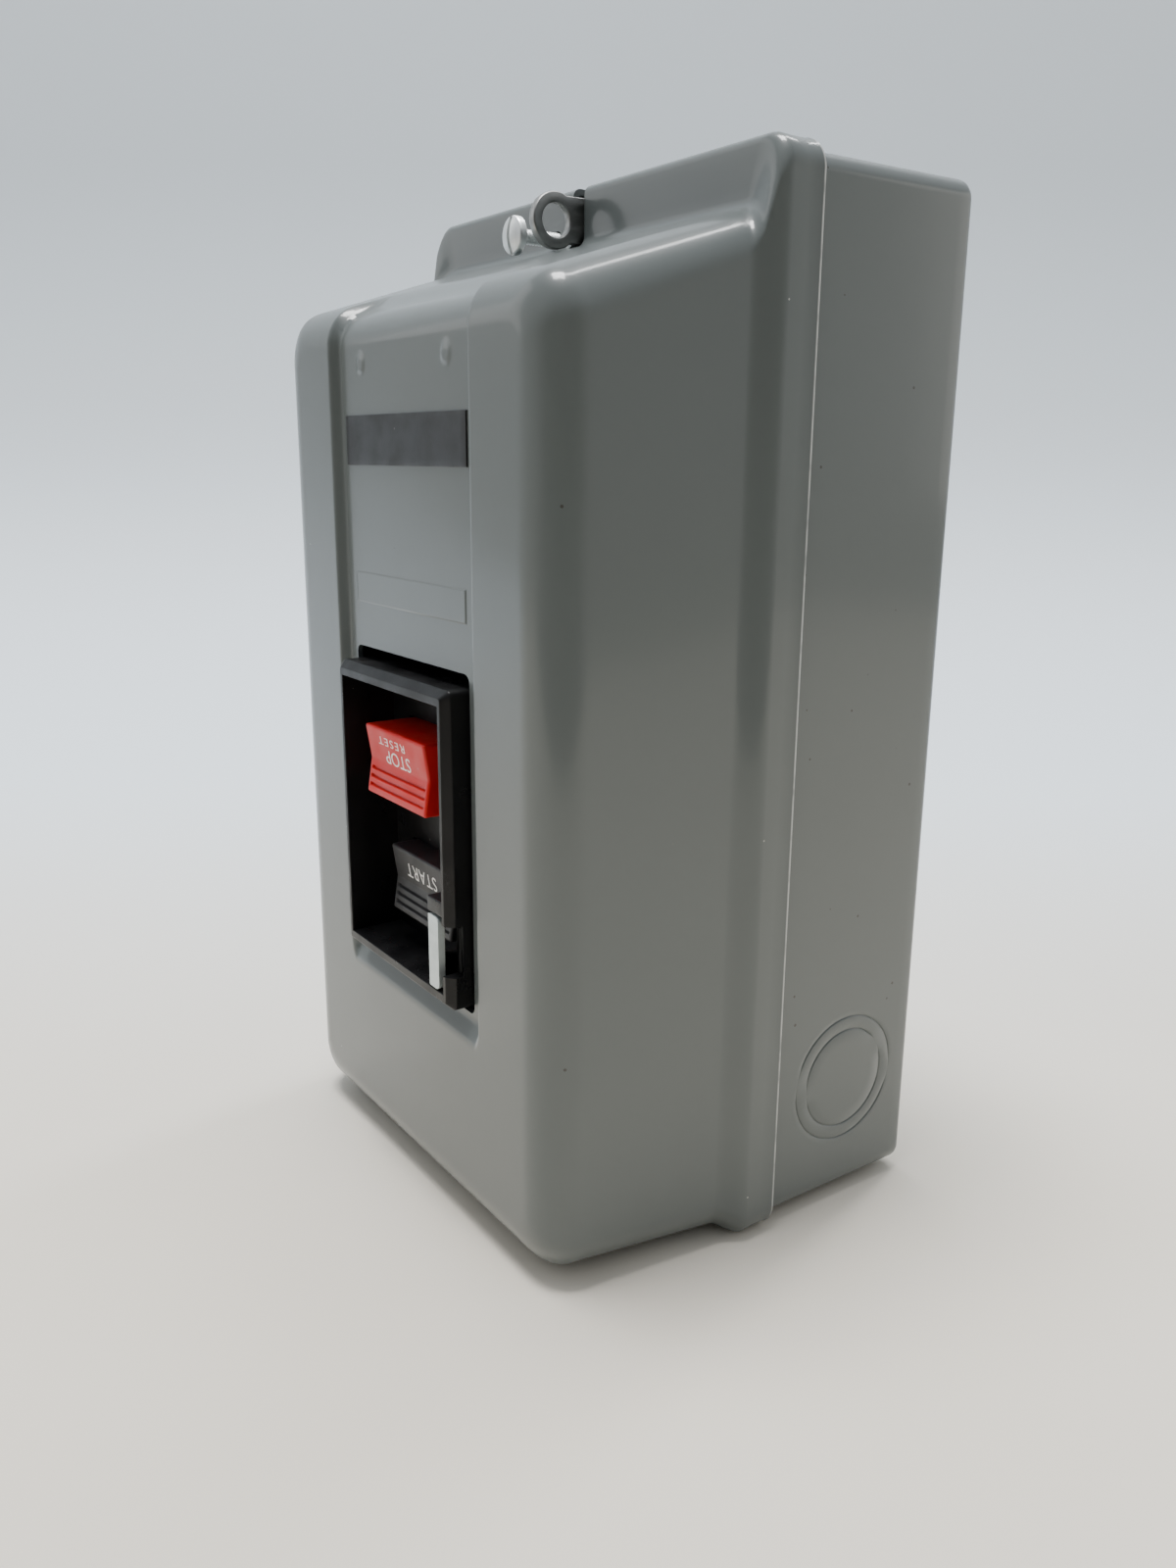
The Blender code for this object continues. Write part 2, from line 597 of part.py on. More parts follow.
def build_hasp(steel, zinc):
    high = HALF_HEIGHT - BOX_WALL - SEAT_GAP
    back = BRACKET_FRONT - BRACKET_WALL
    bend = [(BRACKET_FRONT, BRACKET_FOOT), (BRACKET_FRONT, high), (back - BRACKET_RUN, high),
            (back - BRACKET_RUN, high - BRACKET_WALL), (back, high - BRACKET_WALL), (back, BRACKET_FOOT)]
    bracket = prism("hasp_bracket", bend, "X", BRACKET_LEFT, BRACKET_RIGHT, steel)
    centre = LEDGE_DEPTH + EYE_REACH
    ring = prism("eye_ring", circle(centre, EYE_Z, EYE_OUTER), "X", -EYE_THICK / 2, EYE_THICK / 2, None)
    root = box("eye_root", -EYE_THICK / 2, EYE_THICK / 2, back, centre, EYE_Z - EYE_ROOT_DROP,
               min(high, EYE_Z + EYE_OUTER / 2) - BRACKET_WALL / 2, None)
    web = box("eye_web", -EYE_THICK / 2, EYE_THICK / 2, BOX_DEPTH + SEAT_GAP, centre, EYE_Z - EYE_ROOT_DROP,
              EYE_Z + EYE_WEB_RISE, None)
    weld(weld(weld(bracket, root), web), ring)
    cut(bracket, prism("eye_hole", circle(centre, EYE_Z, EYE_HOLE), "X", -EYE_THICK, EYE_THICK, None))
    cut_round(bracket, "bracket_tapping", SCREW_X, SCREW_Z, SCREW_SHANK + 2 * SCREW_SWING_CLEARANCE,
              back - BRACKET_WALL, BRACKET_FRONT + BRACKET_WALL)
    slotted_screw("cover_screw", SCREW_X, SCREW_Z, LEDGE_DEPTH + SCREW_STANDS_OUT, SCREW_HEAD, SCREW_HEAD_HIGH,
                  SCREW_SHANK, SCREW_LENGTH, SCREW_SLOT, zinc, turned=True)


def build_bezel(black):
    def outer(depth, inset):
        outline = rounded(-BEZEL_HALF + inset, BEZEL_HALF - inset, BEZEL_FOOT + inset, BEZEL_TOP - inset,
                          BEZEL_CORNER)
        return [place("Y", a, b, depth) for a, b in outline]

    rings = [outer(BEZEL_BACK, 0), outer(BEZEL_FRONT - BEZEL_BEVEL, 0), outer(BEZEL_FRONT, BEZEL_BEVEL)]
    bezel = loft("bezel", rings, black)
    lip = BEZEL_FLANGE_LIP
    weld(bezel, box("bezel_flange", -BEZEL_HALF - lip, BEZEL_HALF + lip, BEZEL_BACK, BEZEL_BACK + BEZEL_FLANGE,
                    BEZEL_FOOT - lip, BEZEL_TOP + lip, None))
    wide = BEZEL_HALF - BEZEL_SIDE_WALL
    foot, top = BEZEL_FOOT + BEZEL_END_WALL, BEZEL_TOP - BEZEL_END_WALL
    cut(bezel, box("pocket", -wide, wide, POCKET_FLOOR, 2 * BEZEL_FRONT, foot, top, None))
    cut(bezel, box("bezel_rear", -wide, wide, BEZEL_BACK - BEZEL_FLANGE, POCKET_FLOOR - POCKET_FLOOR_THICK,
                   foot, top, None))
    boss_foot = SLIDE_Z + SLIDE_HIGH / 2 + SLIDE_GAP
    weld(bezel, box("lock_boss", SLIDE_X, wide + BEZEL_SIDE_WALL / 2, POCKET_FLOOR - POCKET_FLOOR_THICK / 2,
                    BEZEL_FRONT - LOCK_BOSS_BACK, boss_foot, boss_foot + LOCK_BOSS_HIGH, None))
    for z in (STOP_Z, START_Z):
        half_x, half_z = BUTTON_WIDTH / 2 + SLIDE_GAP, BUTTON_HEIGHT / 2 + SLIDE_GAP
        cut(bezel, box(f"button_way_{z:.4f}", -half_x, half_x, BEZEL_BACK, POCKET_FLOOR + POCKET_FLOOR_THICK,
                       z - half_z, z + half_z, None))
    cut(bezel, box("slide_way", SLIDE_X - SEAT_GAP, SLIDE_X + SLIDE_WALL + SEAT_GAP, BEZEL_BACK,
                   POCKET_FLOOR + POCKET_FLOOR_THICK, SLIDE_Z - SLIDE_HIGH / 2 - SEAT_GAP,
                   SLIDE_Z + SLIDE_HIGH / 2 + SEAT_GAP, None))
    cut(bezel, box("padlock_notch", wide - SEAT_GAP, 2 * BEZEL_HALF, BEZEL_FRONT - NOTCH_DEPTH, 2 * BEZEL_FRONT,
                   NOTCH_FOOT, NOTCH_TOP, None))
    return bezel


def build_button(name, plastic, front, z, stem_end):
    """A push button with a shallow V face, three finger grooves in its lower half and a stem to the rocker."""
    half_z = BUTTON_HEIGHT / 2
    back = front - BUTTON_LENGTH
    side = [(back, z - half_z), (front, z - half_z), (front - BUTTON_VALLEY, z), (front, z + half_z),
            (back, z + half_z), (back, z + STEM_TIP / 2), (stem_end, z + STEM_TIP / 2),
            (stem_end, z - STEM_TIP / 2), (back, z - STEM_TIP / 2)]
    button = prism(name, side, "X", -BUTTON_WIDTH / 2, BUTTON_WIDTH / 2, plastic, (0, -front, z))
    for sign in (-1, 1):
        inner, outer = sign * STEM_WIDTH / 2, sign * BUTTON_WIDTH
        cut(button, box(f"{name}_stem_side_{sign}", min(inner, outer), max(inner, outer), BEZEL_BACK / 2, back,
                        z - BUTTON_HEIGHT, z + BUTTON_HEIGHT, None))
    for k in range(BUTTON_GROOVES):
        middle = z - half_z / 2 + ((BUTTON_GROOVES - 1) / 2 - k) * BUTTON_GROOVE_PITCH
        face = front - BUTTON_VALLEY * (1 - (z - middle) / half_z)
        cut(button, box(f"{name}_groove_{k}", BUTTON_GROOVE - BUTTON_WIDTH / 2, BUTTON_WIDTH / 2 - BUTTON_GROOVE,
                        face - BUTTON_GROOVE_DEPTH, face + BUTTON_VALLEY, middle - BUTTON_GROOVE / 2,
                        middle + BUTTON_GROOVE / 2, None))
    return button


def build_slide(zinc):
    """The lock-off slide: a blade along the depth with a finger tab bent over at its front."""
    front, right = BEZEL_FRONT, SLIDE_X + SLIDE_TAB
    bend = SLIDE_BEND
    arc = []
    for k in range(ROUND_STEPS + 1):
        turn = math.radians(180 - 90 * k / ROUND_STEPS)
        arc.append((SLIDE_X + bend + bend * math.cos(turn), front - bend + bend * math.sin(turn)))
    outline = [(SLIDE_X, front - SLIDE_LENGTH)] + arc + [
        (right, front), (right, front - SLIDE_WALL), (SLIDE_X + SLIDE_WALL, front - SLIDE_WALL),
        (SLIDE_X + SLIDE_WALL, front - SLIDE_LENGTH)]
    slide = prism("lock_slide", outline, "Z", SLIDE_Z - SLIDE_HIGH / 2, SLIDE_Z + SLIDE_HIGH / 2, zinc,
                  (SLIDE_X, -front, SLIDE_Z))
    hole = circle(front - SLIDE_HOLE_FROM_FRONT, SLIDE_HOLE_Z, SLIDE_HOLE, SMALL_CIRCLE)
    return cut(slide, prism("slide_hole", hole, "X", SLIDE_X - SLIDE_WALL, SLIDE_X + 2 * SLIDE_WALL, None))


def build_rocker(moulded, steel, black):
    half, thick = ROCKER_HALF_LENGTH, ROCKER_THICK / 2
    outline = []
    for u, v in rounded(-half, half, -thick, thick, ROCKER_ROUND):
        depth = v * math.cos(ROCKER_TILT) + u * math.sin(ROCKER_TILT)
        z = u * math.cos(ROCKER_TILT) - v * math.sin(ROCKER_TILT)
        outline.append((ROCKER_PIVOT + depth, BUTTON_MIDDLE_Z + z))
    pivot = (0, -ROCKER_PIVOT, BUTTON_MIDDLE_Z)
    rocker = prism("rocker", outline, "X", -ROCKER_WIDTH / 2, ROCKER_WIDTH / 2, moulded, pivot)
    bore = circle(ROCKER_PIVOT, BUTTON_MIDDLE_Z, PIN_DIAMETER + 2 * SEAT_GAP, SMALL_CIRCLE)
    cut(rocker, prism("rocker_bore", bore, "X", -HOUSING_HALF, HOUSING_HALF, None))
    pin = circle(ROCKER_PIVOT, BUTTON_MIDDLE_Z, PIN_DIAMETER, SMALL_CIRCLE)
    prism("rocker_pin", pin, "X", -HOUSING_HALF, HOUSING_HALF, steel, pivot)
    foot, top = BEZEL_FOOT - HOUSING_OVER_BEZEL, BEZEL_TOP + HOUSING_OVER_BEZEL
    wall = HOUSING_WALL
    housing = box("operator_housing", -HOUSING_HALF, HOUSING_HALF, HOUSING_BACK, HOUSING_FRONT, foot, top, black)
    cut(housing, box("housing_inside", wall - HOUSING_HALF, HOUSING_HALF - wall, BASE_BACK, 2 * HOUSING_FRONT,
                     foot + wall, top - wall, None))
    cut(housing, prism("housing_bore", bore, "X", -2 * HOUSING_HALF, 2 * HOUSING_HALF, None))


def pole_x(pole):
    return (pole - (POLES - 1) / 2) * POLE_PITCH


def build_contact_block(black, brown, copper, zinc):
    wall = BARRIER_WALL / 2
    between = POLE_PITCH / 2
    outline = [(-BLOCK_HALF, BASE_BACK), (BLOCK_HALF, BASE_BACK), (BLOCK_HALF, BARRIER_FRONT),
               (BLOCK_HALF - 2 * wall, BARRIER_FRONT), (BLOCK_HALF - 2 * wall, BASE_FLOOR)]
    for x in (between, -between):
        outline += [(x + wall, BASE_FLOOR), (x + wall, BARRIER_FRONT), (x - wall, BARRIER_FRONT),
                    (x - wall, BASE_FLOOR)]
    outline += [(2 * wall - BLOCK_HALF, BASE_FLOOR), (2 * wall - BLOCK_HALF, BARRIER_FRONT),
                (-BLOCK_HALF, BARRIER_FRONT)]
    base = prism("contact_base", outline, "Z", BLOCK_FOOT, BLOCK_TOP, brown)
    gap = CROSSBAR_HIGH / 2 + WINDOW_CLEARANCE
    room = BLOCK_HALF - 2 * wall
    cut(base, box("crossbar_way", -room + SEAT_GAP, room - SEAT_GAP, BASE_FLOOR, 2 * BARRIER_FRONT,
                  START_Z - gap, START_Z + gap, None))
    screw_bore = TERMINAL_SCREW_SHANK + 2 * SEAT_GAP
    half_bridge = BRIDGE_LENGTH / 2
    ends = (("line", BLOCK_FOOT + STRIP_FROM_END, START_Z - half_bridge, BLOCK_FOOT + TERMINAL_FROM_END),
            ("load", START_Z + half_bridge, BLOCK_TOP - STRIP_FROM_END, BLOCK_TOP - TERMINAL_FROM_END))
    number = 0
    for kind, low, high, screw_z in ends:
        for pole in range(POLES):
            number += 1
            x = pole_x(pole)
            inner = (high, high + TIP_LONG) if kind == "line" else (low - TIP_LONG, low)
            ends_z = (low, inner[1]) if kind == "line" else (inner[0], high)
            side = [(STRIP_BACK, ends_z[0]), (STRIP_BACK, ends_z[1])]
            if kind == "line":
                side += [(TIP_FRONT, inner[1]), (TIP_FRONT, inner[0]), (STRIP_FRONT, inner[0]),
                         (STRIP_FRONT, ends_z[0])]
            else:
                side += [(STRIP_FRONT, ends_z[1]), (STRIP_FRONT, inner[1]), (TIP_FRONT, inner[1]),
                         (TIP_FRONT, inner[0])]
            strip = prism(f"{kind}_contact_{pole + 1}", side, "X", x - STRIP_WIDTH / 2, x + STRIP_WIDTH / 2, copper)
            cut_round(strip, f"strip_hole_{number}", x, screw_z, screw_bore, BASE_BACK, BARRIER_FRONT)
            seat = STRIP_FRONT + SEAT_GAP
            cut_round(base, f"base_hole_{number}", x, screw_z, screw_bore,
                      seat - TERMINAL_SCREW_LENGTH - SEAT_GAP, STRIP_FRONT)
            slotted_screw(f"terminal_screw_{number}", x, screw_z, seat, TERMINAL_SCREW_HEAD,
                          TERMINAL_SCREW_HEAD_HIGH, TERMINAL_SCREW_SHANK, TERMINAL_SCREW_LENGTH, SCREW_SLOT, zinc)
    cover = box("arc_cover", -BLOCK_HALF, BLOCK_HALF, ARC_BACK, ARC_FRONT, BLOCK_FOOT, BLOCK_TOP, black)
    half_x = CROSSBAR_STEM_WIDTH / 2 + WINDOW_CLEARANCE
    cut(cover, box("stem_window", -half_x, half_x, BASE_BACK, 2 * ARC_FRONT, START_Z - gap, START_Z + gap, None))


def build_crossbar(brown, copper, steel):
    """The contact carrier, its three bridges and springs, and the arm that carries the armature."""
    room = BLOCK_HALF - BARRIER_WALL - SEAT_GAP
    half = CROSSBAR_HIGH / 2
    origin = (0, -CROSSBAR_FRONT, START_Z)
    bar = box("crossbar", -room, room, CROSSBAR_BACK, CROSSBAR_FRONT, START_Z - half, START_Z + half, brown, origin)
    arm_top = BEZEL_TOP + HOUSING_OVER_BEZEL + ARM_STEP_CLEARANCE
    upper = ARMATURE_FRONT + SEAT_GAP
    step = arm_top + ARM_STEP_CLEARANCE
    end = MAGNET_Z + CORE_HEIGHT / 2
    side = [(CROSSBAR_BACK, START_Z), (CROSSBAR_BACK, step), (upper, step), (upper, end), (upper + ARM_UPPER, end),
            (upper + ARM_UPPER, arm_top), (CROSSBAR_FRONT, arm_top), (CROSSBAR_FRONT, START_Z)]
    weld(bar, prism("armature_arm", side, "X", -ARM_WIDTH / 2, ARM_WIDTH / 2, None))
    stem_x, stem_z = CROSSBAR_STEM_WIDTH / 2, CROSSBAR_HIGH / 2
    shoulder = CROSSBAR_TIP - STEM_SHOULDER
    inside = (CROSSBAR_BACK + CROSSBAR_FRONT) / 2
    weld(bar, box("crossbar_stem", -stem_x, stem_x, inside, shoulder, START_Z - stem_z + SEAT_GAP,
                  START_Z + stem_z - SEAT_GAP, None))
    weld(bar, box("crossbar_tip", -stem_x, stem_x, inside, CROSSBAR_TIP, START_Z - STEM_TIP / 2,
                  START_Z + STEM_TIP / 2, None))
    for pole in range(POLES):
        x = pole_x(pole)
        box(f"contact_bridge_{pole + 1}", x - BRIDGE_WIDTH / 2, x + BRIDGE_WIDTH / 2, BRIDGE_BACK, BRIDGE_FRONT,
            START_Z - BRIDGE_LENGTH / 2, START_Z + BRIDGE_LENGTH / 2, copper, origin)
        helix(f"contact_spring_{pole + 1}", x, START_Z, CONTACT_SPRING_OUTER, SPRING_WIRE, CONTACT_SPRING_TURNS,
              BRIDGE_FRONT + SEAT_GAP, CROSSBAR_BACK - SEAT_GAP, steel)
    for number, side_sign in enumerate((-1, 1)):
        helix(f"return_spring_{number + 1}", side_sign * POLE_PITCH / 2, START_Z, RETURN_SPRING_OUTER, SPRING_WIRE,
              RETURN_SPRING_TURNS, BASE_FLOOR + SEAT_GAP, CROSSBAR_BACK - SEAT_GAP, steel)


def build_magnet(iron, black, winding, zinc):
    low, high = MAGNET_Z - CORE_HEIGHT / 2, MAGNET_Z + CORE_HEIGHT / 2
    yoke = CORE_BACK + CORE_YOKE
    centre = CORE_CENTRE_LEG / 2
    side = [(CORE_BACK, low), (CORE_FRONT, low), (CORE_FRONT, low + CORE_OUTER_LEG), (yoke, low + CORE_OUTER_LEG),
            (yoke, MAGNET_Z - centre), (CORE_FRONT, MAGNET_Z - centre), (CORE_FRONT, MAGNET_Z + centre),
            (yoke, MAGNET_Z + centre), (yoke, high - CORE_OUTER_LEG), (CORE_FRONT, high - CORE_OUTER_LEG),
            (CORE_FRONT, high), (CORE_BACK, high)]
    prism("magnet_core", side, "X", -CORE_STACK / 2, CORE_STACK / 2, iron)
    box("armature", -CORE_STACK / 2, CORE_STACK / 2, ARMATURE_BACK, ARMATURE_FRONT, low, high, iron,
        (0, -CROSSBAR_FRONT, START_Z))
    back = yoke + SEAT_GAP
    front = back + BOBBIN_LENGTH
    wide = BOBBIN_WIDTH / 2
    tall = CORE_HEIGHT / 2 - CORE_OUTER_LEG - SEAT_GAP
    hole_x, hole_z = CORE_STACK / 2 + SEAT_GAP, centre + SEAT_GAP
    tube_x, tube_z = hole_x + BOBBIN_WALL, hole_z + BOBBIN_WALL
    bobbin = box("coil_bobbin", -wide, wide, back, front, MAGNET_Z - tall, MAGNET_Z + tall, black)
    turn_back, turn_front = back + BOBBIN_FLANGE, front - BOBBIN_FLANGE
    waist = box("bobbin_waist", -2 * wide, 2 * wide, turn_back, turn_front, MAGNET_Z - 2 * tall, MAGNET_Z + 2 * tall,
                None)
    cut(waist, box("bobbin_tube", -tube_x, tube_x, 0, COVER_DEPTH, MAGNET_Z - tube_z, MAGNET_Z + tube_z, None))
    cut(bobbin, waist)
    cut(bobbin, box("bobbin_hole", -hole_x, hole_x, 0, COVER_DEPTH, MAGNET_Z - hole_z, MAGNET_Z + hole_z, None))
    coil_x, coil_z = wide - COIL_INSET, tall - COIL_INSET
    outline = rounded(-coil_x, coil_x, MAGNET_Z - coil_z, MAGNET_Z + coil_z, COIL_CORNER)
    coil = prism("coil", outline, "Y", turn_back + SEAT_GAP, turn_front - SEAT_GAP, winding)
    cut(coil, box("coil_hole", -tube_x - SEAT_GAP, tube_x + SEAT_GAP, 0, COVER_DEPTH, MAGNET_Z - tube_z - SEAT_GAP,
                  MAGNET_Z + tube_z + SEAT_GAP, None))
    half, leg = MAGNET_BRACKET_HALF, MAGNET_BRACKET_LEG
    profile = [(-half, BASE_BACK), (leg - half, BASE_BACK), (leg - half, MAGNET_BRACKET_BACK),
               (half - leg, MAGNET_BRACKET_BACK), (half - leg, BASE_BACK), (half, BASE_BACK),
               (half, MAGNET_BRACKET_FRONT), (-half, MAGNET_BRACKET_FRONT)]
    prism("magnet_bracket", profile, "Z", low, high, zinc)


def build_relay(black, alloy, copper, red):
    relay = box("overload_relay", -BLOCK_HALF, BLOCK_HALF, BASE_BACK, RELAY_FRONT, RELAY_FOOT, RELAY_TOP, black)
    groove = RELAY_FRONT - TRIP_BAR_THICK
    bar_half = TRIP_BAR_HIGH / 2
    cut(relay, box("trip_groove", -TRIP_BAR_HALF - SLIDE_GAP, TRIP_BAR_HALF + TRIP_TRAVEL + SLIDE_GAP, groove,
                   2 * RELAY_FRONT, TRIP_BAR_Z - bar_half - SEAT_GAP, TRIP_BAR_Z + bar_half + SEAT_GAP, None))
    box("trip_bar", -TRIP_BAR_HALF, TRIP_BAR_HALF, groove + SEAT_GAP, groove + SEAT_GAP + TRIP_BAR_THICK,
        TRIP_BAR_Z - bar_half, TRIP_BAR_Z + bar_half, red, (0, -groove, TRIP_BAR_Z))
    for pole in range(POLES):
        x = pole_x(pole)
        cut(relay, box(f"heater_bay_{pole}", x - HEATER_BAY_WIDTH / 2, x + HEATER_BAY_WIDTH / 2, BAY_FLOOR,
                       2 * RELAY_FRONT, HEATER_BAY_FOOT, HEATER_BAY_TOP, None))
        middle = (HEATER_BAY_FOOT + HEATER_BAY_TOP) / 2
        plate_back = BAY_FLOOR + SEAT_GAP
        plate_front = plate_back + HEATER_PLATE
        heater = box(f"heater_{pole + 1}", x - HEATER_WIDTH / 2, x + HEATER_WIDTH / 2, plate_back, plate_front,
                     HEATER_BAY_FOOT + SLIDE_GAP, HEATER_BAY_TOP - SLIDE_GAP, alloy)
        weld(heater, prism(f"heater_pot_{pole}", circle(x, middle, HEATER_POT, SMALL_CIRCLE), "Y",
                           plate_back + HEATER_PLATE / 2, plate_front + HEATER_POT_HIGH, None))
        start, end = BLOCK_TOP - STRIP_FROM_END + SEAT_GAP, RELAY_FOOT - SEAT_GAP
        front = STRIP_FRONT
        back = front - LINK_THICK
        if pole == 1:
            low_back = BASE_BACK + SEAT_GAP
            low_front = low_back + LINK_THICK
            down = BLOCK_TOP + SLIDE_GAP
            side = [(back, start), (front, start), (front, down + LINK_THICK), (low_front, down + LINK_THICK),
                    (low_front, end), (low_back, end), (low_back, down), (back, down)]
        else:
            side = rectangle(back, front, start, end)
        prism(f"bus_link_{pole + 1}", side, "X", x - LINK_WIDTH / 2, x + LINK_WIDTH / 2, copper)


def plate_screw_spots():
    """Where the four plate screws go, and last the earth screw."""
    spots = [(sign * PLATE_SCREW_X, z) for z in (PLATE_SCREW_LOW, PLATE_SCREW_HIGH) for sign in (-1, 1)]
    return spots + [(-PLATE_SCREW_X, GROUND_SCREW_Z)]


def build_plate(zinc, green):
    plate = box("base_plate", -PLATE_HALF, PLATE_HALF, PLATE_BACK, PLATE_FRONT, PLATE_FOOT, PLATE_TOP, zinc)
    seat = PLATE_FRONT + SEAT_GAP
    names = ["base_screw_1", "base_screw_2", "base_screw_3", "base_screw_4", "ground_screw"]
    for name, (x, z) in zip(names, plate_screw_spots()):
        cut_round(plate, f"{name}_hole", x, z, PLATE_SCREW_SHANK + 2 * SEAT_GAP, 0, COVER_DEPTH)
        slotted_screw(name, x, z, seat, PLATE_SCREW_HEAD, PLATE_SCREW_HEAD_HIGH, PLATE_SCREW_SHANK, seat - SEAT_GAP,
                      SCREW_SLOT, green if name == "ground_screw" else zinc)


def main():
    clear_scene()
    paint = make_material("grey_enamel", (0.19, 0.20, 0.19), 0.32, 0.0)
    black = make_material("black_moulding", (0.012, 0.012, 0.013), 0.45, 0.0)
    brown = make_material("brown_moulding", (0.06, 0.035, 0.022), 0.5, 0.0)
    red = make_material("red_plastic", (0.55, 0.03, 0.025), 0.45, 0.0)
    dark = make_material("dark_plastic", (0.03, 0.03, 0.032), 0.5, 0.0)
    zinc = make_material("zinc_plate", (0.62, 0.63, 0.62), 0.35, 1.0)
    steel = make_material("dark_steel", (0.09, 0.09, 0.085), 0.45, 0.8)
    copper = make_material("copper", (0.6, 0.32, 0.2), 0.35, 1.0)
    iron = make_material("laminated_iron", (0.25, 0.25, 0.26), 0.5, 1.0)
    winding = make_material("coil_tape", (0.35, 0.26, 0.08), 0.6, 0.0)
    alloy = make_material("heater_alloy", (0.45, 0.38, 0.28), 0.4, 1.0)
    green = make_material("green_screw", (0.03, 0.22, 0.07), 0.4, 0.5)
    label = make_material("black_label", (0.01, 0.01, 0.011), 0.35, 0.0)
    hinge = (0, -SKIRT_REAR, -HALF_HEIGHT - SKIRT_GAP)
    build_box(paint)
    build_cover(paint, label, zinc, hinge)
    build_hasp(steel, zinc)
    build_bezel(black)
    build_button("stop_button", red, STOP_FRONT, STOP_Z, STOP_STEM_END)
    build_button("start_button", dark, START_FRONT, START_Z, START_STEM_END)
    build_slide(zinc)
    build_rocker(brown, steel, black)
    build_contact_block(black, brown, copper, zinc)
    build_crossbar(brown, copper, steel)
    build_magnet(iron, black, winding, zinc)
    build_relay(black, alloy, copper, red)
    build_plate(zinc, green)


main()
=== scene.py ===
# %% [markdown]
# # A motor starter in its enclosure
# The imported CAD model is the frame of this scene: every piece here is in metres, in the CAD's own place, and all but
# the two return springs move with a CAD body. The CAD keeps the sizes. This script gives the surfaces that a photograph
# shows: rounded sheet metal, moulded plastic, plating, paint and lettering.

import math

import bmesh
import bpy
import numpy as np
from mathutils import Matrix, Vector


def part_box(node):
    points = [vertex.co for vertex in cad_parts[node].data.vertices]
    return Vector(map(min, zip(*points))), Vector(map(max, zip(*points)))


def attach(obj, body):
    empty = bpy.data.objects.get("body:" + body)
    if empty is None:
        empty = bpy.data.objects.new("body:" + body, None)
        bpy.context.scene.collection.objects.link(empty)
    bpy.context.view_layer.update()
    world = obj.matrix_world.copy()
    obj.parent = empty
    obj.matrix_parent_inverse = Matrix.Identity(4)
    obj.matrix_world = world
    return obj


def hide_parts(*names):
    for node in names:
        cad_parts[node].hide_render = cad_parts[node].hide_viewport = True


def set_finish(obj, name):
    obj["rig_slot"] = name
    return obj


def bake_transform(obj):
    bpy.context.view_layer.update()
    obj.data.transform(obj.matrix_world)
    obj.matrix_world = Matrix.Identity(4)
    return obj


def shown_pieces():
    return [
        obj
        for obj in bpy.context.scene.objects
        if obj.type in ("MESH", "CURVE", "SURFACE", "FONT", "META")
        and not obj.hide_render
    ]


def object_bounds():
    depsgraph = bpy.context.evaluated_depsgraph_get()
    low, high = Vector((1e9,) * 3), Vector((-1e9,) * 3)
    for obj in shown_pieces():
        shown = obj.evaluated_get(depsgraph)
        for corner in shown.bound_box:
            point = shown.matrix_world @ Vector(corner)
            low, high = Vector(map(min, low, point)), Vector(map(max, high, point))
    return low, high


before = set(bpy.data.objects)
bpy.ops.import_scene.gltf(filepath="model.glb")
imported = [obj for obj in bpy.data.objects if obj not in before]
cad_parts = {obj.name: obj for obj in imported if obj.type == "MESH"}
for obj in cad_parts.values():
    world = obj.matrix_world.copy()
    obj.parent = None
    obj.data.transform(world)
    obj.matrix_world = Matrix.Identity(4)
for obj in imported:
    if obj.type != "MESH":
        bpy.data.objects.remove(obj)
CAD_BOX = [list(corner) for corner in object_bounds()]
MM = 0.001

# %% [markdown]
# ## The camera
# The photograph was taken from the right of the front, a little above the middle, with the short lens of a phone.
# The place, the turn and the focal length come from fitting the box's edges in the picture, so the camera is set
# from those numbers rather than by eye.

# %% Camera at the photograph's view
PHOTO_HIGH = 1600
FOCAL_PIXELS = 1265.72
SENSOR = 36.0
NEAREST = 0.01
AZIMUTH, ELEVATION, ROLL = np.radians([54.93, 14.7, 0.46])
CAMERA_AT = np.array([226.14, -205.64, 51.93]) * MM


def new_object(name, data):
    """An object in the scene that shows some data, such as a mesh."""
    thing = bpy.data.objects.new(name, data)
    bpy.context.scene.collection.objects.link(thing)
    return thing


def stand(thing, right, up, back, place):
    """Puts a camera or a lamp at a place, turned by its right, up and back directions."""
    turned = np.eye(4)
    turned[:3, :] = np.column_stack([right, up, back, place])
    thing.matrix_world = Matrix(turned.tolist())


back = np.array([math.sin(AZIMUTH) * math.cos(ELEVATION), -math.cos(AZIMUTH) * math.cos(ELEVATION),
                 math.sin(ELEVATION)])
right = np.cross(-back, [0, 0, 1])
right /= np.linalg.norm(right)
up = np.cross(right, -back)
lens = bpy.data.cameras.new("photo_camera")
lens.sensor_width = SENSOR
lens.lens = SENSOR * FOCAL_PIXELS / PHOTO_HIGH
lens.clip_start = NEAREST
camera = new_object("photo_camera", lens)
stand(camera, math.cos(ROLL) * right + math.sin(ROLL) * up, math.cos(ROLL) * up - math.sin(ROLL) * right, back,
      CAMERA_AT)
bpy.context.scene.camera = camera
print(f"lens {lens.lens:.1f} mm at {CAMERA_AT.round(3)}")

# %% [markdown]
# ## Surfaces from arrays
# Most pieces here are thin shells that were pressed or moulded. Each one is worked out as a grid of points with
# numpy, and the grid's squares become the faces. Small helpers put such a grid into a mesh with smooth shading and
# crisp edges, make the object, name its body and hide the plain CAD solid it stands for. Depths count from the wall
# side of the enclosure towards the front, so a depth d lies at y = -d.

# %% Angles, shares and points
def quarter(steps):
    """Angles of a quarter turn in even steps, with both ends."""
    return np.linspace(0, np.pi / 2, steps + 1)


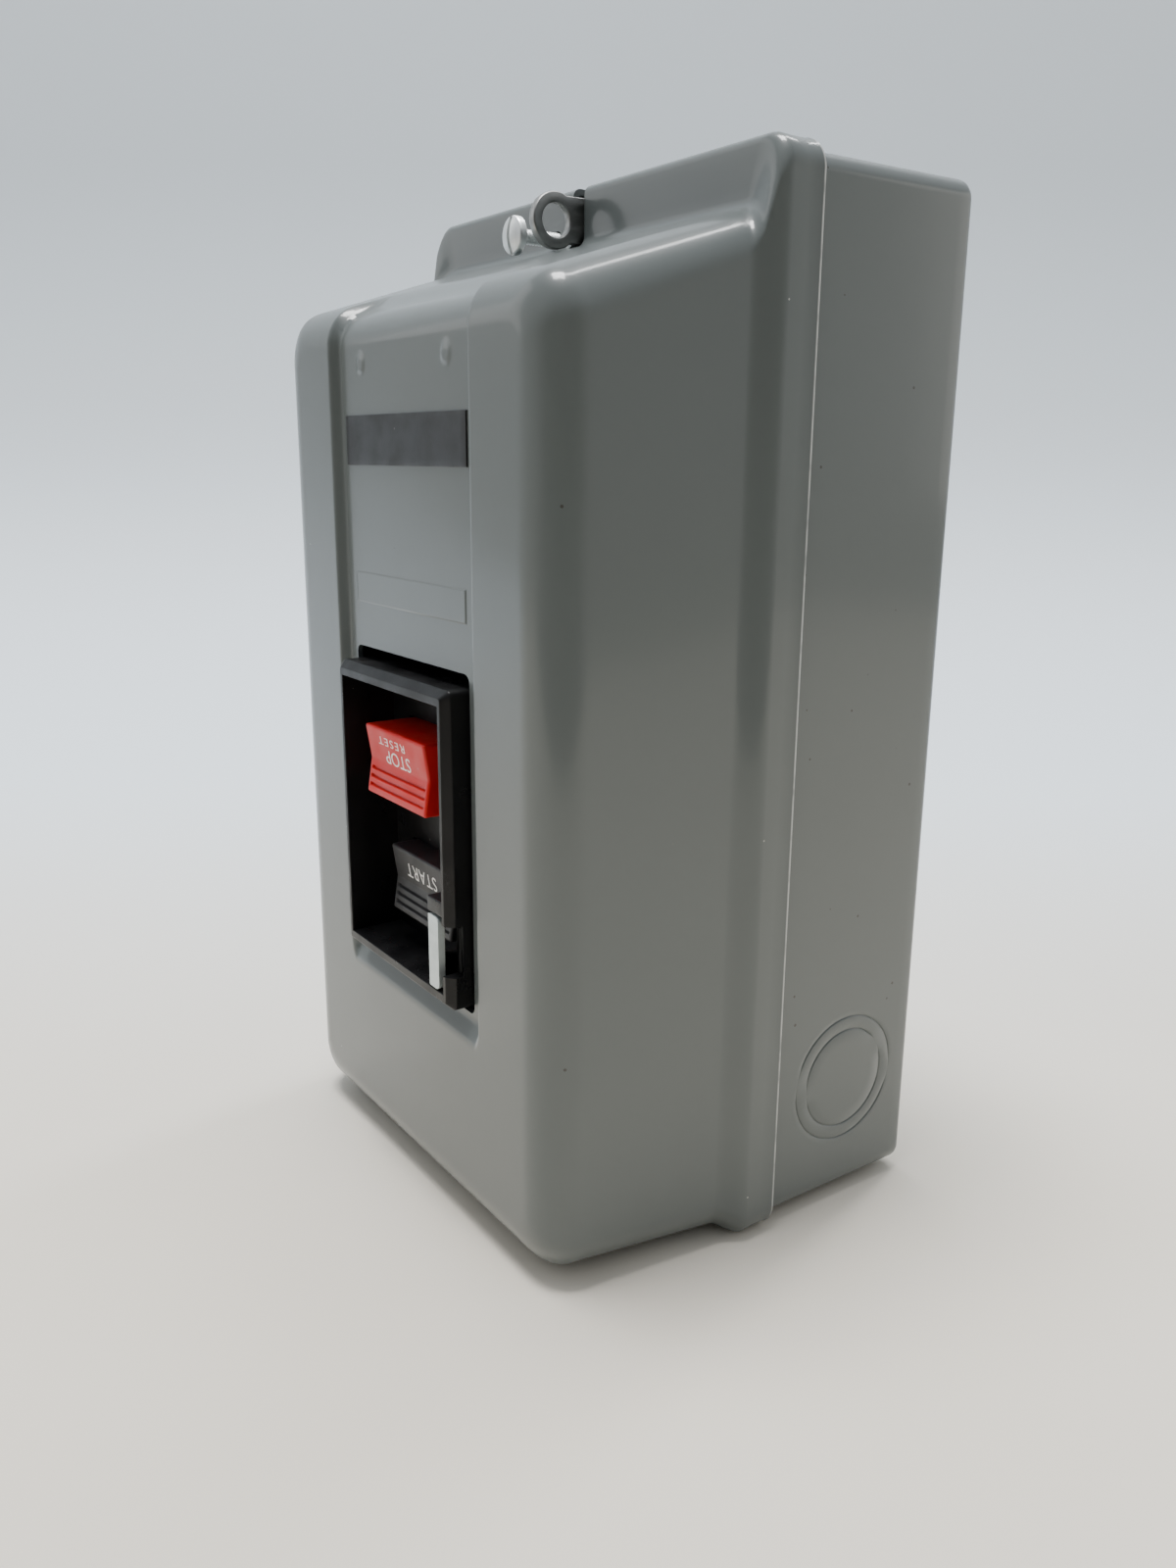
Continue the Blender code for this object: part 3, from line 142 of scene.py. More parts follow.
def circle(sides):
    """Angles of a full turn in even steps, the first one once."""
    return np.linspace(0, 2 * np.pi, sides, endpoint=False)


def between(start, end, share):
    """The value that is a share of the way from start to end."""
    return start + (end - start) * share


def smooth_step(value, start, end):
    """0 before start, 1 after end, and an even S between them."""
    t = np.clip((value - start) / (end - start), 0, 1)
    return t * t * (3 - 2 * t)


def to_points(x, z, depth):
    """Points from x, z and depth, each an array or one number."""
    return np.stack(np.broadcast_arrays(x, -depth, z), axis=-1)


# %% From a grid of points to a piece
SHARP = math.radians(38)
TOUCHING = 0.001 * MM


def grid_faces(rows, columns, wrap_rows=False, wrap_columns=False):
    """Corner numbers of every square of a grid. A wrapped direction joins its last line to its first."""
    number = np.arange(rows * columns).reshape(rows, columns)
    if wrap_rows:
        number = np.vstack([number, number[:1]])
    if wrap_columns:
        number = np.hstack([number, number[:, :1]])
    corners = [number[:-1, :-1], number[1:, :-1], number[1:, 1:], number[:-1, 1:]]
    return np.stack(corners, axis=-1).reshape(-1, 4)


def smooth(mesh, angle=SHARP):
    """Smooth shading, with crisp edges where faces meet at more than an angle."""
    mesh.shade_smooth()
    mesh.set_sharp_from_angle(angle=angle)


def edit_mesh(mesh, operation, parts, **settings):
    """Runs a bmesh operation on all of a mesh's verts or faces."""
    shape = bmesh.new()
    shape.from_mesh(mesh)
    operation(shape, **{parts: getattr(shape, parts)}, **settings)
    shape.to_mesh(mesh)
    shape.free()


def shell_mesh(name, points, faces, merge=0.0):
    """A smooth mesh of the given squares, without unused points, with near points merged if asked."""
    used, renumbered = np.unique(faces, return_inverse=True)
    mesh = bpy.data.meshes.new(name)
    mesh.from_pydata(points.reshape(-1, 3)[used], [], renumbered.reshape(faces.shape))
    if merge:
        edit_mesh(mesh, bmesh.ops.remove_doubles, "verts", dist=merge)
    smooth(mesh)
    return mesh


def add_piece(mesh, body, slot, nodes=()):
    """Puts a mesh in the scene on a body, in place of the CAD nodes that it stands for."""
    piece = new_object(mesh.name, mesh)
    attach(piece, body)
    if slot:
        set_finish(piece, slot)
    if nodes:
        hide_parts(*nodes)
    return piece


def apply_modifiers(piece, angle=SHARP):
    """Makes the modifiers' result the piece's own mesh, smooth with crisp edges."""
    mesh = bpy.data.meshes.new_from_object(piece.evaluated_get(bpy.context.evaluated_depsgraph_get()))
    piece.modifiers.clear()
    mesh.name = piece.name
    piece.data = mesh
    smooth(mesh, angle)


def thicken(piece, wall):
    """Gives a sheet its thickness, behind its faces."""
    solidify = piece.modifiers.new("wall", "SOLIDIFY")
    solidify.thickness = wall
    solidify.offset = -1.0
    apply_modifiers(piece)


def cut_with(piece, points, faces):
    """Cuts a closed shape, given as points and faces, out of a piece."""
    mesh = bpy.data.meshes.new("cutter")
    mesh.from_pydata(points, [], faces)
    edit_mesh(mesh, bmesh.ops.recalc_face_normals, "faces")
    cutter = new_object("cutter", mesh)
    boolean = piece.modifiers.new("cut", "BOOLEAN")
    boolean.object = cutter
    boolean.solver = "EXACT"
    apply_modifiers(piece)
    bpy.data.objects.remove(cutter)


# %% [markdown]
# ## A pressed pan
# The cover, the box, the bezel and the buttons are all the same kind of form: a flat middle whose edge turns over
# into side walls. One function covers them. The middle of its grid is flat. Each grid line past the middle's edge
# is one level further down the wall, and a level is a rounded rectangle with its own size, corners and depth.

# %% Points of a pressed pan
LEVEL = ("left", "right", "foot", "top", "corner_x", "corner_z", "power", "side_depth", "foot_depth", "top_depth")


def level(outline, inset, corner, depth, power=2.0):
    """One rounded rectangle, set in from an outline of (left, right, foot, top).

    The inset, the corner and the depth are one number, or one each way: (sides, foot, top), (x, z) and (sides, foot,
    top).
    """
    left, right, foot, top = outline
    side, at_foot, at_top = np.broadcast_to(inset, 3)
    return (left + side, right - side, foot + at_foot, top - at_top, *np.broadcast_to(corner, 2), power,
            *np.broadcast_to(depth, 3))


def pan_points(flat_x, flat_z, levels):
    """Points of a pan as arrays of x, z and depth.

    A point's level is the larger of how many grid lines it is past the flat middle's edge each way. On a straight
    side it keeps its share of that side. In a corner it turns by a quarter circle's share: the lines it is past the
    edge one way, over its level. The corner is a superellipse: a circle for power 2, squarer for a higher power.
    """
    table = dict(zip(LEVEL, np.array(levels, float).T))
    count = len(levels) - 1
    steps = np.arange(1, count + 1)

    def lines(flat):
        """How many lines each grid line is past the flat middle, and its share of the way across it."""
        past = np.concatenate([-steps[::-1], np.zeros(len(flat)), steps]).astype(int)
        share = np.concatenate([np.zeros(count), (flat - flat[0]) / np.ptp(flat), np.ones(count)])
        return past, share

    (past_x, share_x), (past_z, share_z) = lines(flat_x), lines(flat_z)
    px, pz = np.meshgrid(past_x, past_z, indexing="ij")
    sx, sz = np.meshgrid(share_x, share_z, indexing="ij")
    at = np.maximum(abs(px), abs(pz))
    here = {key: column[at] for key, column in table.items()}
    most = np.maximum(at, 1)
    share = np.where(abs(px) >= abs(pz), 0.5 * abs(pz) / most, 1 - 0.5 * abs(px) / most)
    angle = share * np.pi / 2
    out_x, out_z = np.cos(angle) * (px != 0), np.sin(angle) * (pz != 0)
    round_x, round_z = out_x ** (2 / here["power"]), out_z ** (2 / here["power"])
    low_x, high_x = here["left"] + here["corner_x"], here["right"] - here["corner_x"]
    low_z, high_z = here["foot"] + here["corner_z"], here["top"] - here["corner_z"]
    x = between(low_x, high_x, sx) + here["corner_x"] * round_x * np.sign(px)
    z = between(low_z, high_z, sz) + here["corner_z"] * round_z * np.sign(pz)
    end_depth = np.where(pz > 0, here["top_depth"], here["foot_depth"])
    depth = here["side_depth"] * out_x**2 + end_depth * (1 - out_x**2)
    return x, z, np.where(at == 0, table["side_depth"][0], depth)


def lines_between(*spans):
    """Grid lines in metres through spans of (start, end, spacing) in mm, each line once, in order."""
    runs = [np.linspace(a, b, max(2, int(round((b - a) / step)) + 1)) * MM for a, b, step in spans]
    return np.unique(np.concatenate(runs).round(6))


def pan_mesh(name, x, z, depth, made=None, merge=0.0):
    """A mesh over a pan's points. made marks the squares that are kept."""
    faces = grid_faces(*x.shape)
    return shell_mesh(name, to_points(x, z, depth), faces if made is None else faces[made.reshape(-1)], merge)


def middles(values):
    """The value at the middle of each square of a grid."""
    return (values[:-1, :-1] + values[1:, :-1] + values[1:, 1:] + values[:-1, 1:]) / 4


# %% [markdown]
# ## The cover
# The real cover is one deep-drawn steel sheet. From the front: two flat pads with a shallow channel between them,
# a generous rounded edge, walls that lean in, and a skirt that laps over the box. The leaning walls and the rounded
# edge are joined without a crease: each edge is an arc that starts along its own wall and ends in the front plane. At
# the top the wall meets a flat ledge in a small hollow. On the other three sides there is no room for a ledge, so the
# wall swells out to the skirt in a soft S. Numbers in threes are for the sides, the foot and the top.

# %% Sizes of the cover
low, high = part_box("cover")
COVER_HALF, COVER_END, COVER_FRONT, SKIRT_REAR = high[0], high[2], -low[1], -high[1]
COVER = (-COVER_HALF, COVER_HALF, -COVER_END, COVER_END)
LEDGE = 50.3 * MM
SHEET = 1.2 * MM
EDGE_ROUND = 9 * MM
FRONT_CORNER, NOSE_CORNER, SKIRT_CORNER = 4.5 * MM, 9 * MM, 5.7 * MM
SKIRT_ROUND = 1.8 * MM
HOLLOW, HOLLOW_HIGH = 2.4 * MM, 2.6 * MM
WALL_START = np.array([55.5, 52.0, 52.9]) * MM
NOSE_FOOT = np.array([2.77, 0.8, 12.07]) * MM
LEAN = np.array([3.23, 1.7, 10.03]) * MM
EDGE_BEAD = 0.1 * MM
BEAD_ROWS = ((EDGE_BEAD, 4), (EDGE_BEAD, 0.9), (0, 0.5), (0, 0.15), (EDGE_BEAD, 0))

# %% Levels from the front plane to the skirt's rear edge
slope = np.arctan2(LEAN, COVER_FRONT - EDGE_ROUND - WALL_START)
arc_foot_depth = COVER_FRONT - EDGE_ROUND * (1 - np.sin(slope))
arc_foot = NOSE_FOOT + np.tan(slope) * (arc_foot_depth - WALL_START)
arc_centre = arc_foot + EDGE_ROUND * np.cos(slope)
rows = []
for share in np.linspace(0, 1, 8):
    corner = FRONT_CORNER * share
    rows.append((arc_centre + FRONT_CORNER - corner, corner, COVER_FRONT))
for share in np.linspace(0, 1, 15)[1:]:
    turn = between(np.pi / 2, slope, share)
    rows.append((arc_centre - EDGE_ROUND * np.cos(turn), between(FRONT_CORNER, NOSE_CORNER, share),
                 COVER_FRONT - EDGE_ROUND * (1 - np.sin(turn))))
for share in np.concatenate([np.linspace(0, 0.4, 11)[1:], np.linspace(0.4, 1, 5)[1:]]):
    rows.append((between(arc_foot, NOSE_FOOT, share), NOSE_CORNER, between(arc_foot_depth, WALL_START, share)))
bend = quarter(6)[1:]
top_inset = np.concatenate([NOSE_FOOT[2] - HOLLOW * (1 - np.cos(bend)),
                            np.linspace(NOSE_FOOT[2] - HOLLOW, SKIRT_ROUND, 6)[1:], SKIRT_ROUND * (1 - np.sin(bend))])
top_depth = np.concatenate([LEDGE + HOLLOW_HIGH * (1 - np.sin(bend)), np.full(5, LEDGE),
                            LEDGE - SKIRT_ROUND * (1 - np.cos(bend))])
for share, end_inset, end_depth in zip(np.linspace(0, 1, len(top_inset) + 1)[1:], top_inset, top_depth):
    rows.append((np.append(NOSE_FOOT[:2] * (1 - smooth_step(share, 0, 1)), end_inset),
                 between(NOSE_CORNER, SKIRT_CORNER, share),
                 np.append(between(WALL_START[:2], top_depth[-1], share), end_depth)))
rows += [(inset, SKIRT_CORNER, SKIRT_REAR + from_rear * MM) for inset, from_rear in BEAD_ROWS]
cover_levels = [level(COVER, *row) for row in rows]
print(f"{len(cover_levels)} levels from the cover's front to its rear edge")

# %% [markdown]
# The channel down the front is pressed after the main form, so it is a displacement: each point moves in, along the
# sheet's own normal, by a depth that is full in the channel and eases to nothing at its sides and its foot. At the top
# the channel runs over the rounded edge and fades out on the slope behind it, which is why the press must follow the
# normal. The steps are S curves, because sheet metal never bends to a sharp line. The two small weld dimples and the
# faint punched rectangle are low plateaus on the channel's floor.

# %% Channel and dimples
CHANNEL_DEEP = 2 * MM
CHANNEL_FLOOR = COVER_FRONT - CHANNEL_DEEP
CHANNEL_HALF, SIDE_STEP, CHANNEL_END, END_STEP = 27.4 * MM, 2.2 * MM, -57.4 * MM, 5.6 * MM
RUN_OUT = (77 * MM, 88 * MM)
WINDOW_HALF, WINDOW_FOOT, WINDOW_TOP, WINDOW_CORNER = 24.6 * MM, -57.16 * MM, 12.34 * MM, 1.8 * MM
DIMPLE_X, DIMPLE_Z = 18 * MM, 70.2 * MM
DIMPLE_WIDE, DIMPLE_HIGH, DIMPLE_EDGE = 4.6 * MM, 0.24 * MM, 1.1 * MM
PUNCHED = (-23.4 * MM, 24.0 * MM, 21.8 * MM, 28.3 * MM)
PUNCHED_HIGH, PUNCHED_EDGE = 0.2 * MM, 0.25 * MM
FAINTEST = 0.35
NO_LENGTH = 1e-15


def pressed_in(x, z, depth):
    """Share of the channel's full depth at each point: 1 on its floor, 0 past its steps, and 0 after the run-out.

    How far a point is up the side step and up the end step are joined as the sides of a right angle, which rounds the
    channel's foot corners.
    """
    up_side = np.maximum(abs(x) - CHANNEL_HALF, 0) / SIDE_STEP
    up_end = np.maximum(CHANNEL_END - z, 0) / END_STEP
    return (1 - smooth_step(np.hypot(up_side, up_end), 0, 1)) * smooth_step(depth, *RUN_OUT)


def sheet_normal(x, z, depth):
    """Normals in (x, z, depth) that face out of the sheet: across the grid's two directions, made of length 1."""
    across, upward = (np.moveaxis(run, 0, -1) for run in np.gradient(np.stack([x, z, depth]), axis=(1, 2)))
    normal = np.cross(across, upward)
    return normal / np.maximum(np.linalg.norm(normal, axis=-1, keepdims=True), NO_LENGTH)


def plateau(distance, edge):
    """1 inside a shape and 0 outside it, for a distance that is negative inside."""
    return 1 - smooth_step(distance, -edge, 0)


flat_half = COVER_HALF - arc_centre[0] - FRONT_CORNER
flat_foot = arc_centre[1] + FRONT_CORNER - COVER_END
flat_top = COVER_END - arc_centre[2] - FRONT_CORNER
side_x = lines_between((24.6, 26.4, 0.9), (26.4, 30.6, 0.3), (30.6, 35, 0.7), (35, flat_half / MM, 3))
middle_x = lines_between((-24.6, -23, 0.2), (-23, -20.6, 1), (-20.6, -15.4, 0.35), (-15.4, 15.4, 2),
                         (15.4, 20.6, 0.35), (20.6, 23.4, 1), (23.4, 24.6, 0.2))
cover_z = lines_between((flat_foot / MM, -64, 3), (-64, WINDOW_FOOT / MM, 0.4),
                        (WINDOW_FOOT / MM, WINDOW_TOP / MM, 3.5), (WINDOW_TOP / MM, 21.4, 1.5), (21.4, 22.2, 0.1),
                        (22.2, 27.9, 1.4), (27.9, 28.7, 0.1), (28.7, 66, 3), (66, flat_top / MM, 0.5))
x, z, depth = pan_points(np.unique(np.concatenate([-side_x, middle_x, side_x])), cover_z, cover_levels)
press = -CHANNEL_DEEP * pressed_in(x, z, depth)[..., None] * sheet_normal(x, z, depth)
x, z, depth = x + press[..., 0], z + press[..., 1], depth + press[..., 2]
on_front = depth > CHANNEL_FLOOR - SHEET
for dimple_x in (-DIMPLE_X, DIMPLE_X):
    away = np.hypot(x - dimple_x, z - DIMPLE_Z) - DIMPLE_WIDE / 2
    depth += DIMPLE_HIGH * plateau(away, DIMPLE_EDGE) * on_front
away = np.maximum.reduce([PUNCHED[0] - x, x - PUNCHED[1], PUNCHED[2] - z, z - PUNCHED[3]])
stronger = FAINTEST + (1 - FAINTEST) * smooth_step(x, PUNCHED[0], PUNCHED[1])
depth += PUNCHED_HIGH * stronger * plateau(away, PUNCHED_EDGE) * on_front
cover = add_piece(pan_mesh("cover_shell", x, z, depth), "cover", "grey_enamel", ["cover"])
thicken(cover, SHEET)
print(f"cover: {len(cover.data.polygons)} faces")

# %% [markdown]
# The cover has a window for the bezel, and its ledge has two openings at the top end: the slot that the hasp eye comes
# through, open to the end, and the hole of the captive screw. They are punched through the finished sheet, because
# their outlines don't follow the grid.

# %% Window, slot and screw hole
SLOT_HALF, SLOT_FOOT = 2 * MM, 93.2 * MM
SCREW_X, SCREW_Z = -8 * MM, 96.1 * MM
SCREW_SHANK, SCREW_PLAY = 3 * MM, 0.7 * MM
HOLE_SIDES = 28


def prism(loop, back_depth, front_depth):
    """Points and faces of a prism over a loop of (x, z) points, along the depth, for cutting."""
    x, z = np.array(loop).T
    points = np.concatenate([to_points(x, z, back_depth), to_points(x, z, front_depth)])
    number = np.arange(len(x))
    after = (number + 1) % len(x)
    walls = np.stack([number, after, after + len(x), number + len(x)], axis=-1).tolist()
    return points, [number.tolist(), (number + len(x)).tolist()[::-1]] + walls


def block(x0, x1, z0, z1, back_depth, front_depth):
    """Points and faces of a plain box between two depths, for cutting."""
    return prism([(x0, z0), (x1, z0), (x1, z1), (x0, z1)], back_depth, front_depth)


def rod(x, z, wide, back_depth, front_depth):
    """Points and faces of a round rod along the depth, for cutting."""
    turn = circle(HOLE_SIDES)
    return prism(np.stack([x + wide / 2 * np.cos(turn), z + wide / 2 * np.sin(turn)], axis=-1), back_depth, front_depth)


def rounded_loop(half_x, half_z, corner, side=8):
    """Points round a rectangle with quarter-circle corners, from the upper end of its right side."""
    cx, cz = half_x - corner, half_z - corner
    corners = []
    for turned, (sx, sz) in enumerate(((1, 1), (-1, 1), (-1, -1), (1, -1))):
        angle = quarter(6) + turned * np.pi / 2
        corners.append(np.stack([sx * cx + corner * np.cos(angle), sz * cz + corner * np.sin(angle)], axis=-1))
    share = np.linspace(0, 1, side)[1:-1, None]
    runs = [[here, between(here[-1], after[0], share)] for here, after in zip(corners, corners[1:] + corners[:1])]
    return np.concatenate(sum(runs, []))


window_middle = (WINDOW_FOOT + WINDOW_TOP) / 2
window_loop = rounded_loop(WINDOW_HALF, (WINDOW_TOP - WINDOW_FOOT) / 2, WINDOW_CORNER, side=2) + [0, window_middle]
cut_with(cover, *prism(window_loop, CHANNEL_FLOOR - 3 * SHEET, COVER_FRONT))
cut_with(cover, *block(-SLOT_HALF, SLOT_HALF, SLOT_FOOT, 2 * COVER_END, SKIRT_REAR + SHEET, LEDGE + HOLLOW_HIGH))
cut_with(cover, *rod(SCREW_X, SCREW_Z, SCREW_SHANK + SCREW_PLAY, SKIRT_REAR, LEDGE + HOLLOW_HIGH))
print(f"cover after its cuts: {len(cover.data.polygons)} faces")

# %% [markdown]
# ## The box
# The box is a plain folded pan, so it is the same kind of grid seen from behind. Each knockout is a coin of metal
# that is almost cut free: two fine grooves in circles. A circle doesn't follow a square grid, so a square of the
# wall is left out there, and a patch fills it whose rings change from the square to the circle, carry the grooves,
# and close in the middle. The patch's border has the wall's own points, so the two are merged.

# %% Sizes of the box and its levels
low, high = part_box("back_box")
BOX_HALF, BOX_END, BOX_DEPTH = high[0], high[2], -low[1]
BOX = (-BOX_HALF, BOX_HALF, -BOX_END, BOX_END)
BOX_WALL = 1.5 * MM
BOX_CORNER, BACK_BEND, RIM_BEND = 4 * MM, 2 * MM, 0.15 * MM
PATCH, PATCH_STEP, MOST_LINES = 32 * MM, 2 * MM, 120
WALL_LINES = (42 * MM, BOX_DEPTH - 0.3 * MM)
KNOCKOUT_DEPTH, KNOCKOUT_Z, TOP_KNOCKOUT_X = 20.5 * MM, -76.8 * MM, -32 * MM
KNOCKOUT_RINGS, KNOCKOUT_MARGIN = (14.1 * MM, 11.1 * MM), 1.2 * MM
GROOVE_HALF, GROOVE_DEEP = 0.28 * MM, 0.22 * MM
TIE_TURNS = (np.radians([80, 262]), np.radians([95, 300]))
TIE_HALF = math.radians(16)
NEAR_WALL, SEAM = 0.1 * MM, 0.02 * MM

box_levels = []
for corner in (BOX_CORNER - BACK_BEND) * np.linspace(0, 1, 3):
    box_levels.append(level(BOX, BOX_CORNER - corner, corner, 0))
for turn in quarter(5)[1:]:
    inset = BACK_BEND * (1 - math.sin(turn))
    box_levels.append(level(BOX, inset, BOX_CORNER - inset, BACK_BEND * (1 - math.cos(turn))))
patch_back = KNOCKOUT_DEPTH - PATCH / 2
for depth in (*np.arange(patch_back, patch_back + PATCH + PATCH_STEP / 2, PATCH_STEP), *WALL_LINES):
    box_levels.append(level(BOX, 0, BOX_CORNER, depth))
box_levels.append(level(BOX, RIM_BEND, BOX_CORNER - RIM_BEND, BOX_DEPTH))
print(f"{len(box_levels)} levels from the box's back to its rim")


# %% Box with its knockouts
def patch_lines(middle, half):
    """Grid lines from -half to half, one patch step apart and in step with a patch about a middle."""
    lines = np.arange(-MOST_LINES, MOST_LINES + 1) * PATCH_STEP + middle
    return np.concatenate([[-half], lines[abs(lines) < half - PATCH_STEP / 4], [half]])


def knockout_patch(axis, face, middle):
    """A knockout as rings of points: a square border, a circle, two grooves and the closed middle.

    A ring's point is its share of the way from the square's border point to the circle's. Further in, the ring is a
    circle, pressed in by a round groove at each knockout's edge. The groove fades where a tie holds the metal.
    """
    side = np.arange(-PATCH / 2, PATCH / 2 - PATCH_STEP / 4, PATCH_STEP)
    edge = np.stack([side, np.full(side.shape, -PATCH / 2)], axis=-1)
    square = np.concatenate([edge, edge[:, ::-1] * [-1, 1], -edge, edge[:, ::-1] * [1, -1]])
    turn = np.arctan2(square[:, 1], square[:, 0])
    round_edge = np.stack([np.cos(turn), np.sin(turn)], axis=-1)
    outer = KNOCKOUT_RINGS[0] + KNOCKOUT_MARGIN
    rings = [(between(square, round_edge * outer, share), 0 * turn) for share in (0, 0.5, 1)]
    for ring, ties in zip(KNOCKOUT_RINGS, TIE_TURNS):
        off_tie = np.min([abs((turn - tie + np.pi) % (2 * np.pi) - np.pi) for tie in ties], axis=0)
        deep = GROOVE_DEEP * smooth_step(off_tie, TIE_HALF / 2, TIE_HALF)
        rings += [(round_edge * (ring - GROOVE_HALF * step), deep * (1 - step**2) ** 2)
                  for step in np.linspace(-1, 1, 9)]
    rings += [(round_edge * radius * MM, 0 * turn) for radius in (8, 4, 0.01)]
    flat, press = (np.array(part) for part in zip(*rings))
    along, in_wall = middle + flat[..., 0], face - np.sign(face) * press
    x, z = (in_wall, along) if axis == "x" else (along, in_wall)
    faces = grid_faces(*press.shape, wrap_columns=True)
    outward = (axis == "x") != (face > 0)
    return to_points(x, z, KNOCKOUT_DEPTH + flat[..., 1]).reshape(-1, 3), faces if outward else faces[:, ::-1]


x, z, depth = pan_points(patch_lines(0, BOX_HALF - BOX_CORNER), patch_lines(KNOCKOUT_Z, BOX_END - BOX_CORNER),
                         box_levels)
points = to_points(x, z, depth).reshape(-1, 3)
made = np.ones(middles(x).shape, bool)
patches = []
for knockout in (("x", BOX_HALF, KNOCKOUT_Z), ("x", -BOX_HALF, KNOCKOUT_Z), ("z", -BOX_END, 0.0),
                 ("z", BOX_END, TOP_KNOCKOUT_X)):
    axis, face, middle = knockout
    along, across = (middles(z), middles(x)) if axis == "x" else (middles(x), middles(z))
    near = (abs(along - middle) < PATCH / 2) & (abs(middles(depth) - KNOCKOUT_DEPTH) < PATCH / 2)
    made &= ~(near & (abs(across - face) < NEAR_WALL))
    patch_points, patch_faces = knockout_patch(*knockout)
    patches.append(patch_faces + len(points))
    points = np.vstack([points, patch_points])
faces = np.vstack([grid_faces(*x.shape)[made.reshape(-1)][:, ::-1], *patches])
box_shell = add_piece(shell_mesh("box_shell", points, faces, merge=SEAM), "case", "grey_enamel", ["back_box"])
thicken(box_shell, BOX_WALL)
print(f"box: {len(box_shell.data.polygons)} faces")

# %% Holes in the back of the box
KEYHOLE_Z, KEYHOLE_RUN, KEYHOLE_HEAD, KEYHOLE_NECK = -93.2 * MM, 4 * MM, 9 * MM, 5 * MM
WALL_HOLE_X, WALL_HOLE_Z, WALL_HOLE = 46 * MM, 97.2 * MM, 6 * MM
SCREW_HOLE = 4.6 * MM
BACK_CUT = (-BOX_WALL, 2 * BOX_WALL)


def centre(node):
    """The x and z of the middle of a CAD node's box."""
    low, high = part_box(node)
    return (low[0] + high[0]) / 2, (low[2] + high[2]) / 2


for hole in ((0, KEYHOLE_Z, KEYHOLE_HEAD), (WALL_HOLE_X, WALL_HOLE_Z, WALL_HOLE),
             (-WALL_HOLE_X, WALL_HOLE_Z, WALL_HOLE), (0, KEYHOLE_Z - KEYHOLE_RUN, KEYHOLE_NECK)):
    cut_with(box_shell, *rod(*hole, *BACK_CUT))
cut_with(box_shell, *block(-KEYHOLE_NECK / 2, KEYHOLE_NECK / 2, KEYHOLE_Z - KEYHOLE_RUN, KEYHOLE_Z, *BACK_CUT))
for name in ("base_screw_1", "base_screw_2", "base_screw_3", "base_screw_4", "ground_screw"):
    cut_with(box_shell, *rod(*centre(name), SCREW_HOLE, *BACK_CUT))
print(f"box after its holes: {len(box_shell.data.polygons)} faces")

# %% [markdown]
# ## The bezel
# The black bezel is one moulding: a pocket with a flat floor, a rim, a bevel, outer walls and a flange behind the
# cover. As a pan its levels climb from the floor to the rim and go down again outside. Its corners are nearly square,
# so they are superellipses of a high power whose centres all lie at the pocket's corners. That keeps the grid lines
# straight, and the padlock notch can be pressed into the right wall between two of them.

# %% Sizes of the bezel and its levels
low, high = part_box("bezel")
FLANGE_LIP = 2.2 * MM
BEZEL_HALF, BEZEL_FOOT, BEZEL_TOP = high[0] - FLANGE_LIP, low[2] + FLANGE_LIP, high[2] - FLANGE_LIP
BEZEL_FRONT, BEZEL_BACK = -low[1], -high[1]
SIDE_WALL, END_WALL, FLOOR_EDGE = 2.6 * MM, 3.2 * MM, 0.05 * MM
POCKET_FLOOR = 85 * MM
BEZEL_SKIN = 0.9 * MM
SQUARE_CORNER = 5.0
NOTCH_FOOT, NOTCH_TOP, NOTCH_FLOOR = -48.36 * MM, -37.66 * MM, 93.7 * MM
CRISP, LEVEL_WITH = 0.03 * MM, 0.01 * MM
BUTTON_HALF, BUTTON_HALF_HIGH, BUTTON_GAP = 13.2 * MM, 7.5 * MM, 0.4 * MM
STOP_Z, START_Z = centre("stop_button")[1], centre("start_button")[1]
SLIDE_WAY = (14.7 * MM, 16.8 * MM, -36.3 * MM)
MIDDLE_X, MIDDLE_Z = (-5 * MM, 5 * MM), (-24 * MM, 2 * MM)

# In mm: set in from the outer walls at the sides, and at the ends, and the depth
rim = BEZEL_FRONT / MM
bezel_rows = [(2.65, 3.25, POCKET_FLOOR / MM), (2.6, 3.2, POCKET_FLOOR / MM + 0.15), (2.6, 3.2, 90), (2.6, 3.2, 93.7),
              (2.6, 3.2, rim - 0.3), (2.6, 3.2, rim - 0.14), (2.5, 3.1, rim), (2.38, 2.98, rim), (1.7, 1.7, rim),
              (1.58, 1.58, rim), (1.45, 1.45, rim - 0.06), (1.35, 1.35, rim - 0.16), (0.2, 0.2, rim - 1.36),
              (0.1, 0.1, rim - 1.46), (0, 0, rim - 1.62), (0, 0, rim - 1.8), (0, 0, 93.7), (0, 0, 90), (0, 0, 64.4),
              (-0.1, -0.1, 64.1), (-0.4, -0.4, 64), (-2, -2, 64), (-2.2, -2.2, 63.8), (-2.2, -2.2, BEZEL_BACK / MM)]
bezel_levels = []
for side, end, depth in np.array(bezel_rows) * MM:
    corner = (SIDE_WALL + FLOOR_EDGE - side, END_WALL + FLOOR_EDGE - end)
    bezel_levels.append(level((-BEZEL_HALF, BEZEL_HALF, BEZEL_FOOT, BEZEL_TOP), (side, end, end), corner, depth,
                              SQUARE_CORNER))
print(f"{len(bezel_levels)} levels from the pocket's floor to the flange")

